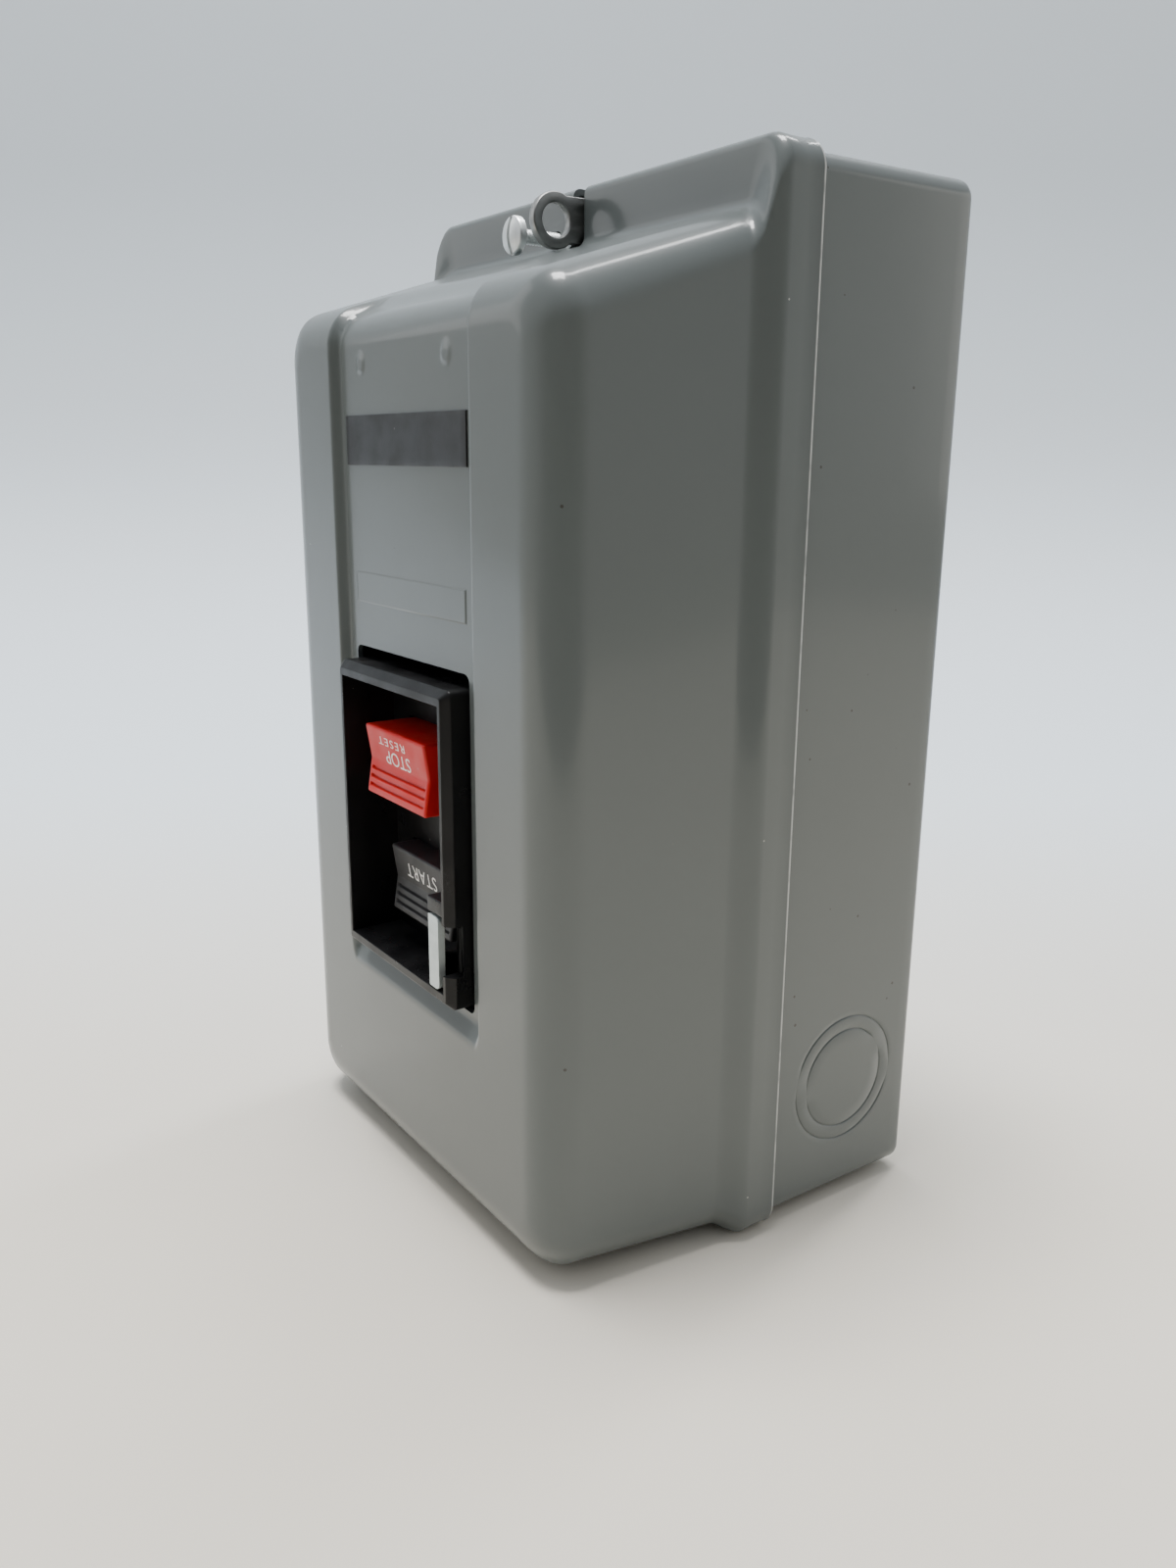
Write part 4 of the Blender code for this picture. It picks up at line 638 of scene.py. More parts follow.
# %% Bezel with its pocket, windows and notch
floor_half = BEZEL_HALF - SIDE_WALL - FLOOR_EDGE
floor_foot, floor_top = BEZEL_FOOT + END_WALL + FLOOR_EDGE, BEZEL_TOP - END_WALL - FLOOR_EDGE
way_half, way_high = BUTTON_HALF + BUTTON_GAP, BUTTON_HALF_HIGH + BUTTON_GAP
bezel_x = np.array([-floor_half, -way_half, *MIDDLE_X, way_half, *SLIDE_WAY[:2], floor_half])
bezel_z = np.unique([floor_foot, NOTCH_FOOT - CRISP, NOTCH_FOOT + CRISP, NOTCH_TOP - CRISP, NOTCH_TOP + CRISP,
                     SLIDE_WAY[2], START_Z - way_high, START_Z + way_high, STOP_Z - way_high, STOP_Z + way_high,
                     *MIDDLE_Z, floor_top])
x, z, depth = pan_points(bezel_x, bezel_z, bezel_levels)
in_notch = (x > floor_half) & (z > NOTCH_FOOT) & (z < NOTCH_TOP)
depth = np.where(in_notch, np.minimum(depth, NOTCH_FLOOR), depth)
mid_x, mid_z = middles(x), middles(z)
on_floor = abs(middles(depth) - POCKET_FLOOR) < LEVEL_WITH
button_ways = (abs(mid_x) < way_half) & ((abs(mid_z - STOP_Z) < way_high) | (abs(mid_z - START_Z) < way_high))
slide_way = (mid_x > SLIDE_WAY[0]) & (mid_x < SLIDE_WAY[1]) & (mid_z < SLIDE_WAY[2])
bezel = add_piece(pan_mesh("bezel_frame", x, z, depth, ~(on_floor & (button_ways | slide_way))), "case",
                  "black_moulding", ["bezel"])
thicken(bezel, BEZEL_SKIN)
print(f"bezel: {len(bezel.data.polygons)} faces")

# %% [markdown]
# ## Solid mouldings
# The buttons, the block beside the lock slide and the label are solid. The same pan works for them: after the walls,
# the last levels turn inwards at the back and shrink to a point, so the form is closed. A button's face is a shallow
# V with three finger grooves, laid over the flat front as a height that depends on z.

# %% Levels of a solid block
def block_levels(outline, front, back, edge):
    """A flat front, an edge rounded by a quarter circle and straight walls to the back."""
    rows = [level(outline, edge, 0, front)]
    for turn in quarter(4)[1:]:
        inset = edge * (1 - math.sin(turn))
        rows.append(level(outline, inset, edge - inset, front - edge * (1 - math.cos(turn))))
    return rows + [level(outline, 0, edge, back)]


def closing_level(outline, depth):
    """The middle of an outline as a level of no size, which closes a form."""
    x, z = (outline[0] + outline[1]) / 2, (outline[2] + outline[3]) / 2
    return level((x, x, z, z), 0, 0, depth)


def block_mesh(name, outline, front, back, edge, columns, lines):
    """A solid block with a rounded front edge."""
    x, z, depth = pan_points(np.linspace(*outline[:2], columns), np.linspace(*outline[2:], lines),
                             block_levels(outline, front, back, edge) + [closing_level(outline, back)])
    return pan_mesh(name, x, z, depth, merge=TOUCHING)


# %% Block beside the slide, and the label
BLOCK = (15 * MM, 21.7 * MM, -36.206 * MM, -33.006 * MM)
BLOCK_EDGE, BLOCK_SET_BACK, BLOCK_BACK = 0.35 * MM, 0.2 * MM, 84.2 * MM
LABEL_EDGE, LABEL_HIGH, LABEL_SUNK = 0.12 * MM, 0.35 * MM, 0.05 * MM
lock_block = add_piece(block_mesh("lock_block", BLOCK, BEZEL_FRONT - BLOCK_SET_BACK, BLOCK_BACK, BLOCK_EDGE, 4, 4),
                       "case", "black_moulding")
low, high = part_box("nameplate")
label = add_piece(block_mesh("bare_label", (low[0], high[0], low[2], high[2]), CHANNEL_FLOOR + LABEL_HIGH,
                             CHANNEL_FLOOR - LABEL_SUNK, LABEL_EDGE, 24, 8), "cover", "black_label", ["nameplate"])
print(f"block {len(lock_block.data.polygons)} faces, label {len(label.data.polygons)} faces")

# %% Buttons
BUTTON_EDGE = 0.6 * MM
VALLEY, VALLEY_LINE, UPPER_LINE = 1.2 * MM, 0.4 * MM, 1 * MM
BUTTON_LONG = 21.9 * MM
STEM_HALF, STEM_HALF_HIGH, STEM_CORNER = 4 * MM, 2 * MM, 0.3 * MM
GROOVE_PITCH, GROOVE_WIDE, GROOVE_PRESS = 1.8 * MM, 0.9 * MM, 0.6 * MM
GROOVE_LINES = np.array([-0.5, -0.44, -0.36, -0.25, 0, 0.25, 0.36, 0.44, 0.5]) * GROOVE_WIDE
GROOVE_REACH, GROOVE_FADE = 12.2 * MM, 0.35 * MM


def face_drop(z, middle):
    """How far a button's V face lies behind its highest edges, at height z."""
    return VALLEY * (1 - np.minimum(abs(z - middle) / BUTTON_HALF_HIGH, 1))


def button_mesh(name, node):
    """A button: a rounded block with a V face and three grooves, then its shank, its stem and the closed end."""
    low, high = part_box(node)
    front, stem_end, middle = -low[1], -high[1], centre(node)[1]
    foot, top, back = middle - BUTTON_HALF_HIGH, middle + BUTTON_HALF_HIGH, front - BUTTON_LONG
    stem = (-STEM_HALF, STEM_HALF, middle - STEM_HALF_HIGH, middle + STEM_HALF_HIGH)
    rows = block_levels((-BUTTON_HALF, BUTTON_HALF, foot, top), front, back, BUTTON_EDGE)
    rows += [level(stem, 0, STEM_CORNER, back), level(stem, 0, STEM_CORNER, stem_end), closing_level(stem, stem_end)]
    grooves = middle - BUTTON_HALF_HIGH / 2 + GROOVE_PITCH * np.array([-1, 0, 1])
    flat_z = np.unique(np.concatenate([[foot + BUTTON_EDGE, middle - VALLEY_LINE, middle,
                                        middle + VALLEY_LINE, top - BUTTON_EDGE],
                                       *(groove + GROOVE_LINES for groove in grooves),
                                       np.linspace(middle + UPPER_LINE, top - UPPER_LINE, 5)]))
    reach, end = GROOVE_REACH / MM, (BUTTON_HALF - BUTTON_EDGE) / MM
    flat_x = lines_between((-end, -reach - 0.1, 0.3), (-reach, 0.4 - reach, 0.1), (-11, 11, 2.2),
                           (reach - 0.4, reach, 0.1), (reach + 0.1, end, 0.3))
    x, z, depth = pan_points(flat_x, flat_z, rows)
    on_face = depth > front - BUTTON_EDGE * 1.01
    depth = depth - face_drop(z, middle) * on_face
    across = np.min([abs(z - groove) for groove in grooves], axis=0)
    pressed = (1 - smooth_step(across, GROOVE_WIDE * 0.3, GROOVE_WIDE * 0.48))
    pressed = pressed * (1 - smooth_step(abs(x), GROOVE_REACH - GROOVE_FADE, GROOVE_REACH))
    return pan_mesh(name, x, z, depth - GROOVE_PRESS * pressed * on_face, merge=TOUCHING)


stop_button = add_piece(button_mesh("stop_key", "stop_button"), "stop_button", "red_plastic", ["stop_button"])
start_button = add_piece(button_mesh("start_key", "start_button"), "start_button", "dark_plastic", ["start_button"])
print(f"buttons: {len(stop_button.data.polygons)} and {len(start_button.data.polygons)} faces")

# %% [markdown]
# ## Lettering
# The words are printed in white on the upper half of each button. The starter was made to hang the other way up, so
# they read upside down here. Each word is set as text, made a mesh, and scaled to the printed size. Its points are
# then laid on the button's sloping face, a paint layer's height in front of it.

# %% Words on the buttons
PAINT = 0.035 * MM
THINNER = -0.006


def print_word(word, node, wide, high, right, above, spacing=1.0):
    """A word on a button's V face, right of and above its middle.

    Text across goes to -x, text up goes to -z, and depth follows the face.
    """
    text = bpy.data.curves.new("word", "FONT")
    text.body = word
    text.space_character = spacing
    text.extrude = 0.01
    text.offset = THINNER
    text.resolution_u = 6
    holder = new_object("word", text)
    mesh = bpy.data.meshes.new_from_object(holder.evaluated_get(bpy.context.evaluated_depsgraph_get()))
    bpy.data.objects.remove(holder)
    flat = np.empty(len(mesh.vertices) * 3)
    mesh.vertices.foreach_get("co", flat)
    u, v, w = flat.reshape(-1, 3).T
    middle = centre(node)[1]
    x = right - ((u - u.min()) / np.ptp(u) - 0.5) * wide
    z = middle + above - ((v - v.min()) / np.ptp(v) - 0.5) * high
    face = -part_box(node)[0][1] - face_drop(z, middle)
    mesh.vertices.foreach_set("co", to_points(x, z, face + np.sign(w) * PAINT).ravel())
    mesh.update()
    mesh.name = f"{word.lower()}_word"
    return add_piece(mesh, node, None)


words = [print_word("STOP", "stop_button", 11.0 * MM, 2.95 * MM, 0.25 * MM, 1.6 * MM),
         print_word("RESET", "stop_button", 11.8 * MM, 1.75 * MM, -1.6 * MM, 4.85 * MM, 1.3),
         print_word("START", "start_button", 13.4 * MM, 3.2 * MM, -0.35 * MM, 3.0 * MM, 1.1)]
print("words:", [word.name for word in words])

# %% [markdown]
# ## The lock slide
# The slide is a strip of plated steel, bent over at its front to a finger tab, with a hole for a padlock. It is a
# profile carried along z: the profile runs up the blade, round the bend and out along the tab. Near the tab's end
# the strip narrows along a quarter circle, which rounds its two corners, and at the bend it narrows to the blade.

# %% Slide
low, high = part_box("lock_slide")
SLIDE_WALL, SLIDE_BEND = 1.5 * MM, 1.0 * MM
TAB_CORNER, BLADE_SET_IN = 1.3 * MM, 1.2 * MM
SLIDE_HOLE, SLIDE_HOLE_DEPTH, SLIDE_HOLE_Z = 6.5 * MM, 91.5 * MM, -42.956 * MM
WORN_EDGE, WORN_FROM, TAB_SHARP = 0.12 * MM, math.radians(50), math.radians(20)
slide_front, slide_back, slide_x, tab_end = -low[1], -high[1], low[0], high[0]
turn = np.linspace(np.pi, np.pi / 2, 13)
blade = np.linspace(slide_back, slide_front - SLIDE_BEND, 12)[:-1]
tab = np.concatenate([np.linspace(slide_x + SLIDE_BEND, tab_end - TAB_CORNER, 5)[1:],
                      tab_end - TAB_CORNER * (1 - np.sin(quarter(6)[1:]))])
path_x = np.concatenate([np.full(blade.shape, slide_x), slide_x + SLIDE_BEND * (1 + np.cos(turn)), tab])
path_depth = np.concatenate([blade, slide_front - SLIDE_BEND * (1 - np.sin(turn)), np.full(tab.shape, slide_front)])
past = np.clip((path_x - tab_end + TAB_CORNER) / TAB_CORNER, 0, 1)
before = np.clip((slide_x + BLADE_SET_IN - path_x) / BLADE_SET_IN, 0, 1)
half_high = ((high[2] - low[2]) / 2 - TAB_CORNER * (1 - np.sqrt(1 - past**2))
             - BLADE_SET_IN * (1 - np.sqrt(1 - before**2)))
z = (low[2] + high[2]) / 2 + half_high[:, None] * np.linspace(-1, 1, 15)
slide = add_piece(shell_mesh("slide_strip", to_points(path_x[:, None], z, path_depth[:, None]), grid_faces(*z.shape)),
                  "lock_slide", "zinc_plate", ["lock_slide"])
thicken(slide, SLIDE_WALL)
hole_points, hole_faces = rod(SLIDE_HOLE_DEPTH, SLIDE_HOLE_Z, SLIDE_HOLE, slide_x - SLIDE_WALL,
                              slide_x + 2 * SLIDE_WALL)
# The rod runs along the depth, so its x and its depth change places
cut_with(slide, hole_points[:, [1, 0, 2]] * [-1, -1, 1], hole_faces)
bevel = slide.modifiers.new("worn_edge", "BEVEL")
bevel.width = WORN_EDGE
bevel.segments = 2
bevel.limit_method = "ANGLE"
bevel.angle_limit = WORN_FROM
apply_modifiers(slide, TAB_SHARP)
print(f"slide: {len(slide.data.polygons)} faces")

# %% [markdown]
# ## The hasp eye and its bracket
# A thin steel eye comes up through the cover's slot for a padlock or a wire seal. It is bent from the bracket inside,
# which the cover screw also threads into. The eye is a loop of directions round its hole. In each direction the metal
# reaches either the eye's round edge or the side of the straight root behind it, whichever is further.

# %% Eye
EYE_DEPTH, EYE_Z = 56.4 * MM, 98.3 * MM
EYE_OUTER, EYE_HOLE, EYE_HALF, EYE_EDGE = 5.4 * MM, 3.3 * MM, 1.0 * MM, 0.35 * MM
ROOT_BACK, ROOT_DROP, ROOT_RISE = 12.0 * MM, 4.1 * MM, 2.8 * MM
WEB_BACK, WEB_RISE = 8.6 * MM, 4.8 * MM
EYE_SIDES = 144
TINY = 1e-6
ahead, above = np.cos(circle(EYE_SIDES)), np.sin(circle(EYE_SIDES))


def reach_to(back, rise, drop):
    """How far a rectangle behind the eye's middle reaches in each direction, and 0 ahead of it."""
    to_side = np.where(above > 0, rise, drop) / np.maximum(abs(above), TINY)
    return np.where(ahead < 0, np.minimum(back / np.maximum(-ahead, TINY), to_side), 0)


reach = np.maximum(EYE_OUTER, reach_to(ROOT_BACK, ROOT_RISE, ROOT_DROP))
reach = np.maximum(reach, reach_to(WEB_BACK, WEB_RISE, ROOT_DROP))
bend = quarter(3)[:, None]
inward, side = EYE_EDGE * (1 - np.cos(bend)), EYE_HALF - EYE_EDGE * (1 - np.sin(bend))
# One face from the hole to the edge, and the other face back again
radius = np.concatenate([EYE_HOLE + inward + 0 * reach, reach - inward[::-1]])
side = np.concatenate([side, side[::-1]])
radius, side = np.concatenate([radius, radius[::-1]]), np.concatenate([side, -side[::-1]])
points = to_points(side, EYE_Z + radius * above, EYE_DEPTH + radius * ahead)
eye_mesh = shell_mesh("hasp_eye", points, grid_faces(*radius.shape, wrap_rows=True, wrap_columns=True))

# %% Bracket behind the ledge
low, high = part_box("hasp_bracket")
BRACKET_WALL, BRACKET_BEND = 1.6 * MM, 2.4 * MM
BRACKET_FRONT, BRACKET_TOP = 46 * MM, 101.9 * MM
bend = quarter(7)[1:]
path_depth = np.concatenate([np.full(8, BRACKET_FRONT), BRACKET_FRONT - BRACKET_BEND * (1 - np.cos(bend)),
                             np.linspace(BRACKET_FRONT - BRACKET_BEND, -high[1], 7)[1:]])
path_z = np.concatenate([np.linspace(low[2], BRACKET_TOP - BRACKET_BEND, 8),
                         BRACKET_TOP - BRACKET_BEND * (1 - np.sin(bend)), np.full(6, BRACKET_TOP)])
strip = to_points(np.linspace(low[0], high[0], 12), path_z[:, None], path_depth[:, None])
bracket = add_piece(shell_mesh("hasp_strip", strip, grid_faces(*strip.shape[:2])[:, ::-1]), "case", "dark_steel",
                    ["hasp_bracket"])
thicken(bracket, BRACKET_WALL)
cut_with(bracket, *rod(SCREW_X, SCREW_Z, SCREW_HOLE, BRACKET_FRONT - 3 * BRACKET_WALL, BRACKET_FRONT + BRACKET_WALL))
eye = add_piece(eye_mesh, "case", "dark_steel", ["hasp_bracket"])
print(f"bracket {len(bracket.data.polygons)} faces, eye {len(eye.data.polygons)} faces")

# %% [markdown]
# ## Screws
# A slotted machine screw is a turned form: a profile carried round an axis. The thread is a ripple in the shank's
# radius that moves on by one pitch with each turn. The slot is cut across the finished head.

# %% A slotted screw
SCREW_SIDES = 40
PITCH, THREAD_DEEP = 0.7 * MM, 0.45
DOME, HEAD_BEVEL = 0.3, 0.15 * MM


def screw_points(x, z, seat, head_wide, head_high, shank_wide, tip):
    """Points of a turned screw along the depth, from the head's middle to the tip's middle.

    The head's top is a low dome with a rounded rim. On the shank the radius falls by a rounded thread whose phase is
    the depth over the pitch less the turn.
    """
    half, rim = head_wide / 2, head_high * 0.25
    front = seat + head_high
    bend = quarter(5)[1:]
    out = np.linspace(0, 1, 7)
    head_r = np.concatenate([out * (half - rim), half - rim + rim * np.sin(bend), [half, half - HEAD_BEVEL]])
    head_d = np.concatenate([front - DOME * head_high * out**2, front - DOME * head_high - rim * (1 - np.cos(bend)),
                             [seat + HEAD_BEVEL, seat]])
    shank_d = np.arange(seat, tip, -PITCH / 8)
    shank_r = np.full(shank_d.shape, shank_wide / 2)
    end_d, end_r = np.array([tip, tip]), np.array([shank_wide * 0.36, 0.0])
    r, d = np.concatenate([head_r, shank_r, end_r]), np.concatenate([head_d, shank_d, end_d])
    threaded = np.concatenate([0 * head_r, smooth_step(seat - shank_d, PITCH, 2 * PITCH), 0 * end_r])
    turn = circle(SCREW_SIDES)
    wave = 0.5 + 0.5 * np.cos(2 * np.pi * d[:, None] / PITCH - turn)
    r = r[:, None] - THREAD_DEEP * PITCH * threaded[:, None] * wave
    return to_points(x + r * np.cos(turn), z + r * np.sin(turn), d[:, None])


def add_screw(name, node, shank_wide, head_high, slot_wide, slot_turn, body="case", slot="zinc_plate"):
    """A screw in a CAD screw's place, with its slot turned by the given angle from the x direction."""
    low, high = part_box(node)
    x, z = centre(node)
    seat = -low[1] - head_high
    points = screw_points(x, z, seat, high[0] - low[0], head_high, shank_wide, -high[1])
    faces = grid_faces(*points.shape[:2], wrap_columns=True)
    screw = add_piece(shell_mesh(name, points, faces, merge=TOUCHING), body, slot, [node])
    corners, sides = block(-head_high * 3, head_high * 3, -slot_wide / 2, slot_wide / 2, seat + head_high * 0.5,
                           seat + head_high * 2)
    across, y, up = corners.T
    c, s = math.cos(slot_turn), math.sin(slot_turn)
    cut_with(screw, to_points(x + across * c - up * s, z + across * s + up * c, -y), sides)
    return screw


screws = [add_screw("captive_screw", "cover_screw", SCREW_SHANK, 2.4 * MM, 1.0 * MM, np.radians(90), "cover_screw")]
screws += [add_screw(f"terminal_{k}", f"terminal_screw_{k}", 4 * MM, 3 * MM, 1.2 * MM, np.radians(37 * k))
           for k in range(1, 7)]
screws += [add_screw(f"plate_screw_{k}", f"base_screw_{k}", 4 * MM, 2.5 * MM, 1.1 * MM, np.radians(53 * k))
           for k in range(1, 5)]
screws.append(add_screw("earth_screw", "ground_screw", 4 * MM, 2.5 * MM, 1.1 * MM, 0.6, slot="green_screw"))
print(f"{len(screws)} screws, {len(screws[0].data.polygons)} faces on the cover's")

# %% [markdown]
# ## Springs and the coil
# A spring is a round wire carried along a helix. The wire's ring of points is set square to the path, and the two
# ends shrink to a point. The two return springs stand between the base and the moving contact bar; they are placed
# where the CAD springs are, on no body. The coil is a loop of a rounded rectangle whose outer
# side has the low ridges of its taped winding.

# %% Springs
WIRE = 0.7 * MM
TURN_STEPS, WIRE_SIDES = 26, 10


def spring_mesh(name, node, turns):
    """A helix along the depth in the box of a CAD spring, with a round wire and closed ends."""
    low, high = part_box(node)
    radius = (high[0] - low[0] - WIRE) / 2
    x, z = centre(node)
    count = int(turns * TURN_STEPS)
    along = np.linspace(0, 1, count)
    angle = 2 * np.pi * turns * along
    rise = -high[1] + WIRE / 2 + (high[1] - low[1] - WIRE) * along
    out = np.stack([np.cos(angle), 0 * angle, np.sin(angle)], axis=-1)
    path = to_points(x + radius * out[:, 0], z + radius * out[:, 2], rise)
    ahead = np.gradient(path, axis=0)
    ahead /= np.linalg.norm(ahead, axis=1, keepdims=True)
    side = np.cross(ahead, out)
    ring = circle(WIRE_SIDES)[None, :, None]
    thick = np.concatenate([[0], np.full(count - 2, WIRE / 2), [0]])[:, None, None]
    path[0], path[-1] = path[1], path[-2]
    points = path[:, None] + thick * (np.cos(ring) * out[:, None] + np.sin(ring) * side[:, None])
    return shell_mesh(name, points, grid_faces(count, WIRE_SIDES, wrap_columns=True)[:, ::-1], merge=TOUCHING)


springs = []
for k in range(1, 4):
    springs.append(add_piece(spring_mesh(f"contact_coil_{k}", f"contact_spring_{k}", 2.5), "crossbar", "zinc_plate",
                             [f"contact_spring_{k}"]))
for k in range(1, 3):
    low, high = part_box(f"return_spring_{k}")
    middle = centre(f"return_spring_{k}")
    spring = new_object(f"return_coil_{k}", spring_mesh(f"return_coil_{k}", f"return_spring_{k}", 4.5))
    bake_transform(spring)
    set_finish(spring, "zinc_plate")
    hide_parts(f"return_spring_{k}")
    springs.append(spring)
print(f"{len(springs)} springs")

# %% Coil
low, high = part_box("coil")
CORE_HALF, CORE_HALF_HIGH, CORE_CORNER = 10.3 * MM, 6.8 * MM, 0.8 * MM
COIL_CORNER = 3 * MM
TAPE_RIDGES, RIDGE_DEEP, ROUNDED = 4, 0.03, 0.05
coil_x, coil_z = centre("coil")
outer = rounded_loop(high[0] - coil_x, high[2] - coil_z, COIL_CORNER)
inner = rounded_loop(CORE_HALF, CORE_HALF_HIGH, CORE_CORNER)
rise = np.linspace(0, 1, 41)
bulge = (1 - ROUNDED * (1 - np.sqrt(1 - (2 * rise - 1) ** 2))
         - RIDGE_DEEP * np.abs(np.cos(np.pi * TAPE_RIDGES * rise)))
share = np.concatenate([[0, 0.5], bulge, [0.5, 0]])
along = np.concatenate([[0, 0], rise, [1, 1]])
flat = between(inner, outer, share[:, None, None])
points = to_points(coil_x + flat[..., 0], coil_z + flat[..., 1], between(-high[1], -low[1], along[:, None]))
faces = grid_faces(*points.shape[:2], wrap_rows=True, wrap_columns=True)[:, ::-1]
coil = add_piece(shell_mesh("coil_winding", points, faces), "case", "coil_tape", ["coil"])
print(f"coil: {len(coil.data.polygons)} faces")

# %% [markdown]
# ## Shared effects for the finishes
# Four effects come back in many finishes, so each one is a small node group with its own named inputs. "Fine grain"
# is a soft noise for orange peel, moulded skin and cast texture. "Specks" are tiny spots, for dust nicks and paint
# chips. "Streaks" is noise stretched along one axis, for rolled or brushed metal. "Settled dust" grows on whatever
# faces up. All of them read Object coordinates, so a pattern stays on its piece when the piece moves.

# %% Helpers for nodes
def new_group(name, result, **inputs):
    """A shader node group with float inputs of given defaults: the group, its input sockets and its result's socket."""
    group = bpy.data.node_groups.new(name, "ShaderNodeTree")
    for label, value in inputs.items():
        group.interface.new_socket(label, in_out="INPUT", socket_type="NodeSocketFloat").default_value = value
    group.interface.new_socket(result, in_out="OUTPUT", socket_type="NodeSocketFloat")
    return group, group.nodes.new("NodeGroupInput").outputs, group.nodes.new("NodeGroupOutput").inputs[0]


def put_in(tree, socket, value):
    """Sets an input to a value, or links it to another node's socket."""
    if isinstance(value, bpy.types.NodeSocket):
        tree.links.new(value, socket)
    else:
        socket.default_value = value


def add_node(tree, kind, *values, settings=(), **named):
    """A node with its settings, given as a dictionary, and with its inputs, in order or by name."""
    node = tree.nodes.new(kind)
    for key, value in dict(settings).items():
        setattr(node, key, value)
    for key, value in (*enumerate(values), *named.items()):
        put_in(tree, node.inputs[key], value)
    return node


def maths(tree, operation, *values):
    """The result socket of a Math node on the given values."""
    return add_node(tree, "ShaderNodeMath", *values, settings={"operation": operation}).outputs[0]


def spread(tree, value, low, high, to_low=0.0, to_high=1.0):
    """A value mapped from one range to another along an even S, held inside it."""
    return add_node(tree, "ShaderNodeMapRange", value, low, high, to_low, to_high,
                    settings={"interpolation_type": "SMOOTHSTEP"}).outputs[0]


def object_place(tree):
    """The Object coordinates."""
    return tree.nodes.new("ShaderNodeTexCoord").outputs["Object"]


def axis_of(tree, vector, axis):
    """A vector's X, Y or Z."""
    return add_node(tree, "ShaderNodeSeparateXYZ", vector).outputs[axis]


def how_far(tree, vector, direction):
    """How far a vector goes in a direction."""
    return add_node(tree, "ShaderNodeVectorMath", vector, tuple(direction),
                    settings={"operation": "DOT_PRODUCT"}).outputs["Value"]


# %% The four groups
grain, given, result = new_group("fine grain", "Value", Scale=900.0, Detail=2.0)
noise = add_node(grain, "ShaderNodeTexNoise", Vector=object_place(grain), Scale=given["Scale"], Detail=given["Detail"],
                 Roughness=0.5)
grain.links.new(noise.outputs[0], result)

SMALLEST_SPECK = 0.3
specks, given, result = new_group("specks", "Mask", Scale=300.0, Size=0.1, Share=0.5)
cells = add_node(specks, "ShaderNodeTexVoronoi", settings={"feature": "F1"}, Vector=object_place(specks),
                 Scale=given["Scale"])
pick = add_node(specks, "ShaderNodeSeparateColor", cells.outputs["Color"]).outputs
chosen = maths(specks, "LESS_THAN", pick[0], given["Share"])
own_size = maths(specks, "MULTIPLY", given["Size"], maths(specks, "ADD", pick[1], SMALLEST_SPECK))
near = maths(specks, "LESS_THAN", cells.outputs["Distance"], own_size)
specks.links.new(maths(specks, "MULTIPLY", chosen, near), result)

streaks, given, result = new_group("streaks", "Value", X=100.0, Y=100.0, Z=1500.0)
stretch = add_node(streaks, "ShaderNodeCombineXYZ", given["X"], given["Y"], given["Z"])
scaled = add_node(streaks, "ShaderNodeVectorMath", object_place(streaks), stretch.outputs[0],
                  settings={"operation": "MULTIPLY"})
noise = add_node(streaks, "ShaderNodeTexNoise", Vector=scaled.outputs[0], Scale=1.0, Detail=3.0)
streaks.links.new(noise.outputs[0], result)

dust, given, result = new_group("settled dust", "Mask", Amount=0.3, Scale=60.0)
facing = dust.nodes.new("ShaderNodeNewGeometry").outputs["Normal"]
noise = add_node(dust, "ShaderNodeTexNoise", Vector=object_place(dust), Scale=given["Scale"], Detail=4.0)
upward = spread(dust, axis_of(dust, facing, "Z"), 0.35, 0.95)
patchy = spread(dust, noise.outputs[0], 0.35, 0.7)
dust.links.new(maths(dust, "MULTIPLY", maths(dust, "MULTIPLY", upward, patchy), given["Amount"]), result)
print("groups:", [group.name for group in bpy.data.node_groups])

# %% A material to build on
# Sockets of a Mix node that are for colours
MIX_FIRST, MIX_SECOND, MIX_RESULT = 6, 7, 2


def new_material(name, roughness, metallic=0.0, coat=0.0, coat_roughness=0.05, specular=0.5):
    """A node material with the numbers that are the same all over, and its tree and shader."""
    material = bpy.data.materials.new(name)
    material.use_nodes = True
    tree = material.node_tree
    shader = tree.nodes["Principled BSDF"]
    shader.inputs["Roughness"].default_value = roughness
    shader.inputs["Metallic"].default_value = metallic
    shader.inputs["Coat Weight"].default_value = coat
    shader.inputs["Coat Roughness"].default_value = coat_roughness
    shader.inputs["Specular IOR Level"].default_value = specular
    return material, tree, shader


def effect(tree, group, **values):
    """The result of a shared effect, placed in a material with its own values."""
    return add_node(tree, "ShaderNodeGroup", settings={"node_tree": group}, **values).outputs[0]


def cloudy(tree, scale, detail, *ranges):
    """Fine grain, spread from one range to another."""
    return spread(tree, effect(tree, grain, Scale=scale, Detail=detail), *ranges)


def blend_colour(tree, share, first, second):
    """A colour between two, by a share that changes over the surface."""
    node = add_node(tree, "ShaderNodeMix", share, settings={"data_type": "RGBA"})
    for number, colour in ((MIX_FIRST, first), (MIX_SECOND, second)):
        put_in(tree, node.inputs[number], colour if isinstance(colour, bpy.types.NodeSocket) else (*colour, 1))
    return node.outputs[MIX_RESULT]


def stain(tree, under, mask, amount, colour):
    """A colour laid over another one where a mask is, as strong as the amount."""
    return blend_colour(tree, maths(tree, "MULTIPLY", mask, amount), under, colour)


def bump(tree, shader, height, distance, strength):
    """Gives the shader a normal from a height."""
    node = add_node(tree, "ShaderNodeBump", Height=height, Distance=distance, Strength=strength)
    tree.links.new(node.outputs[0], shader.inputs["Normal"])
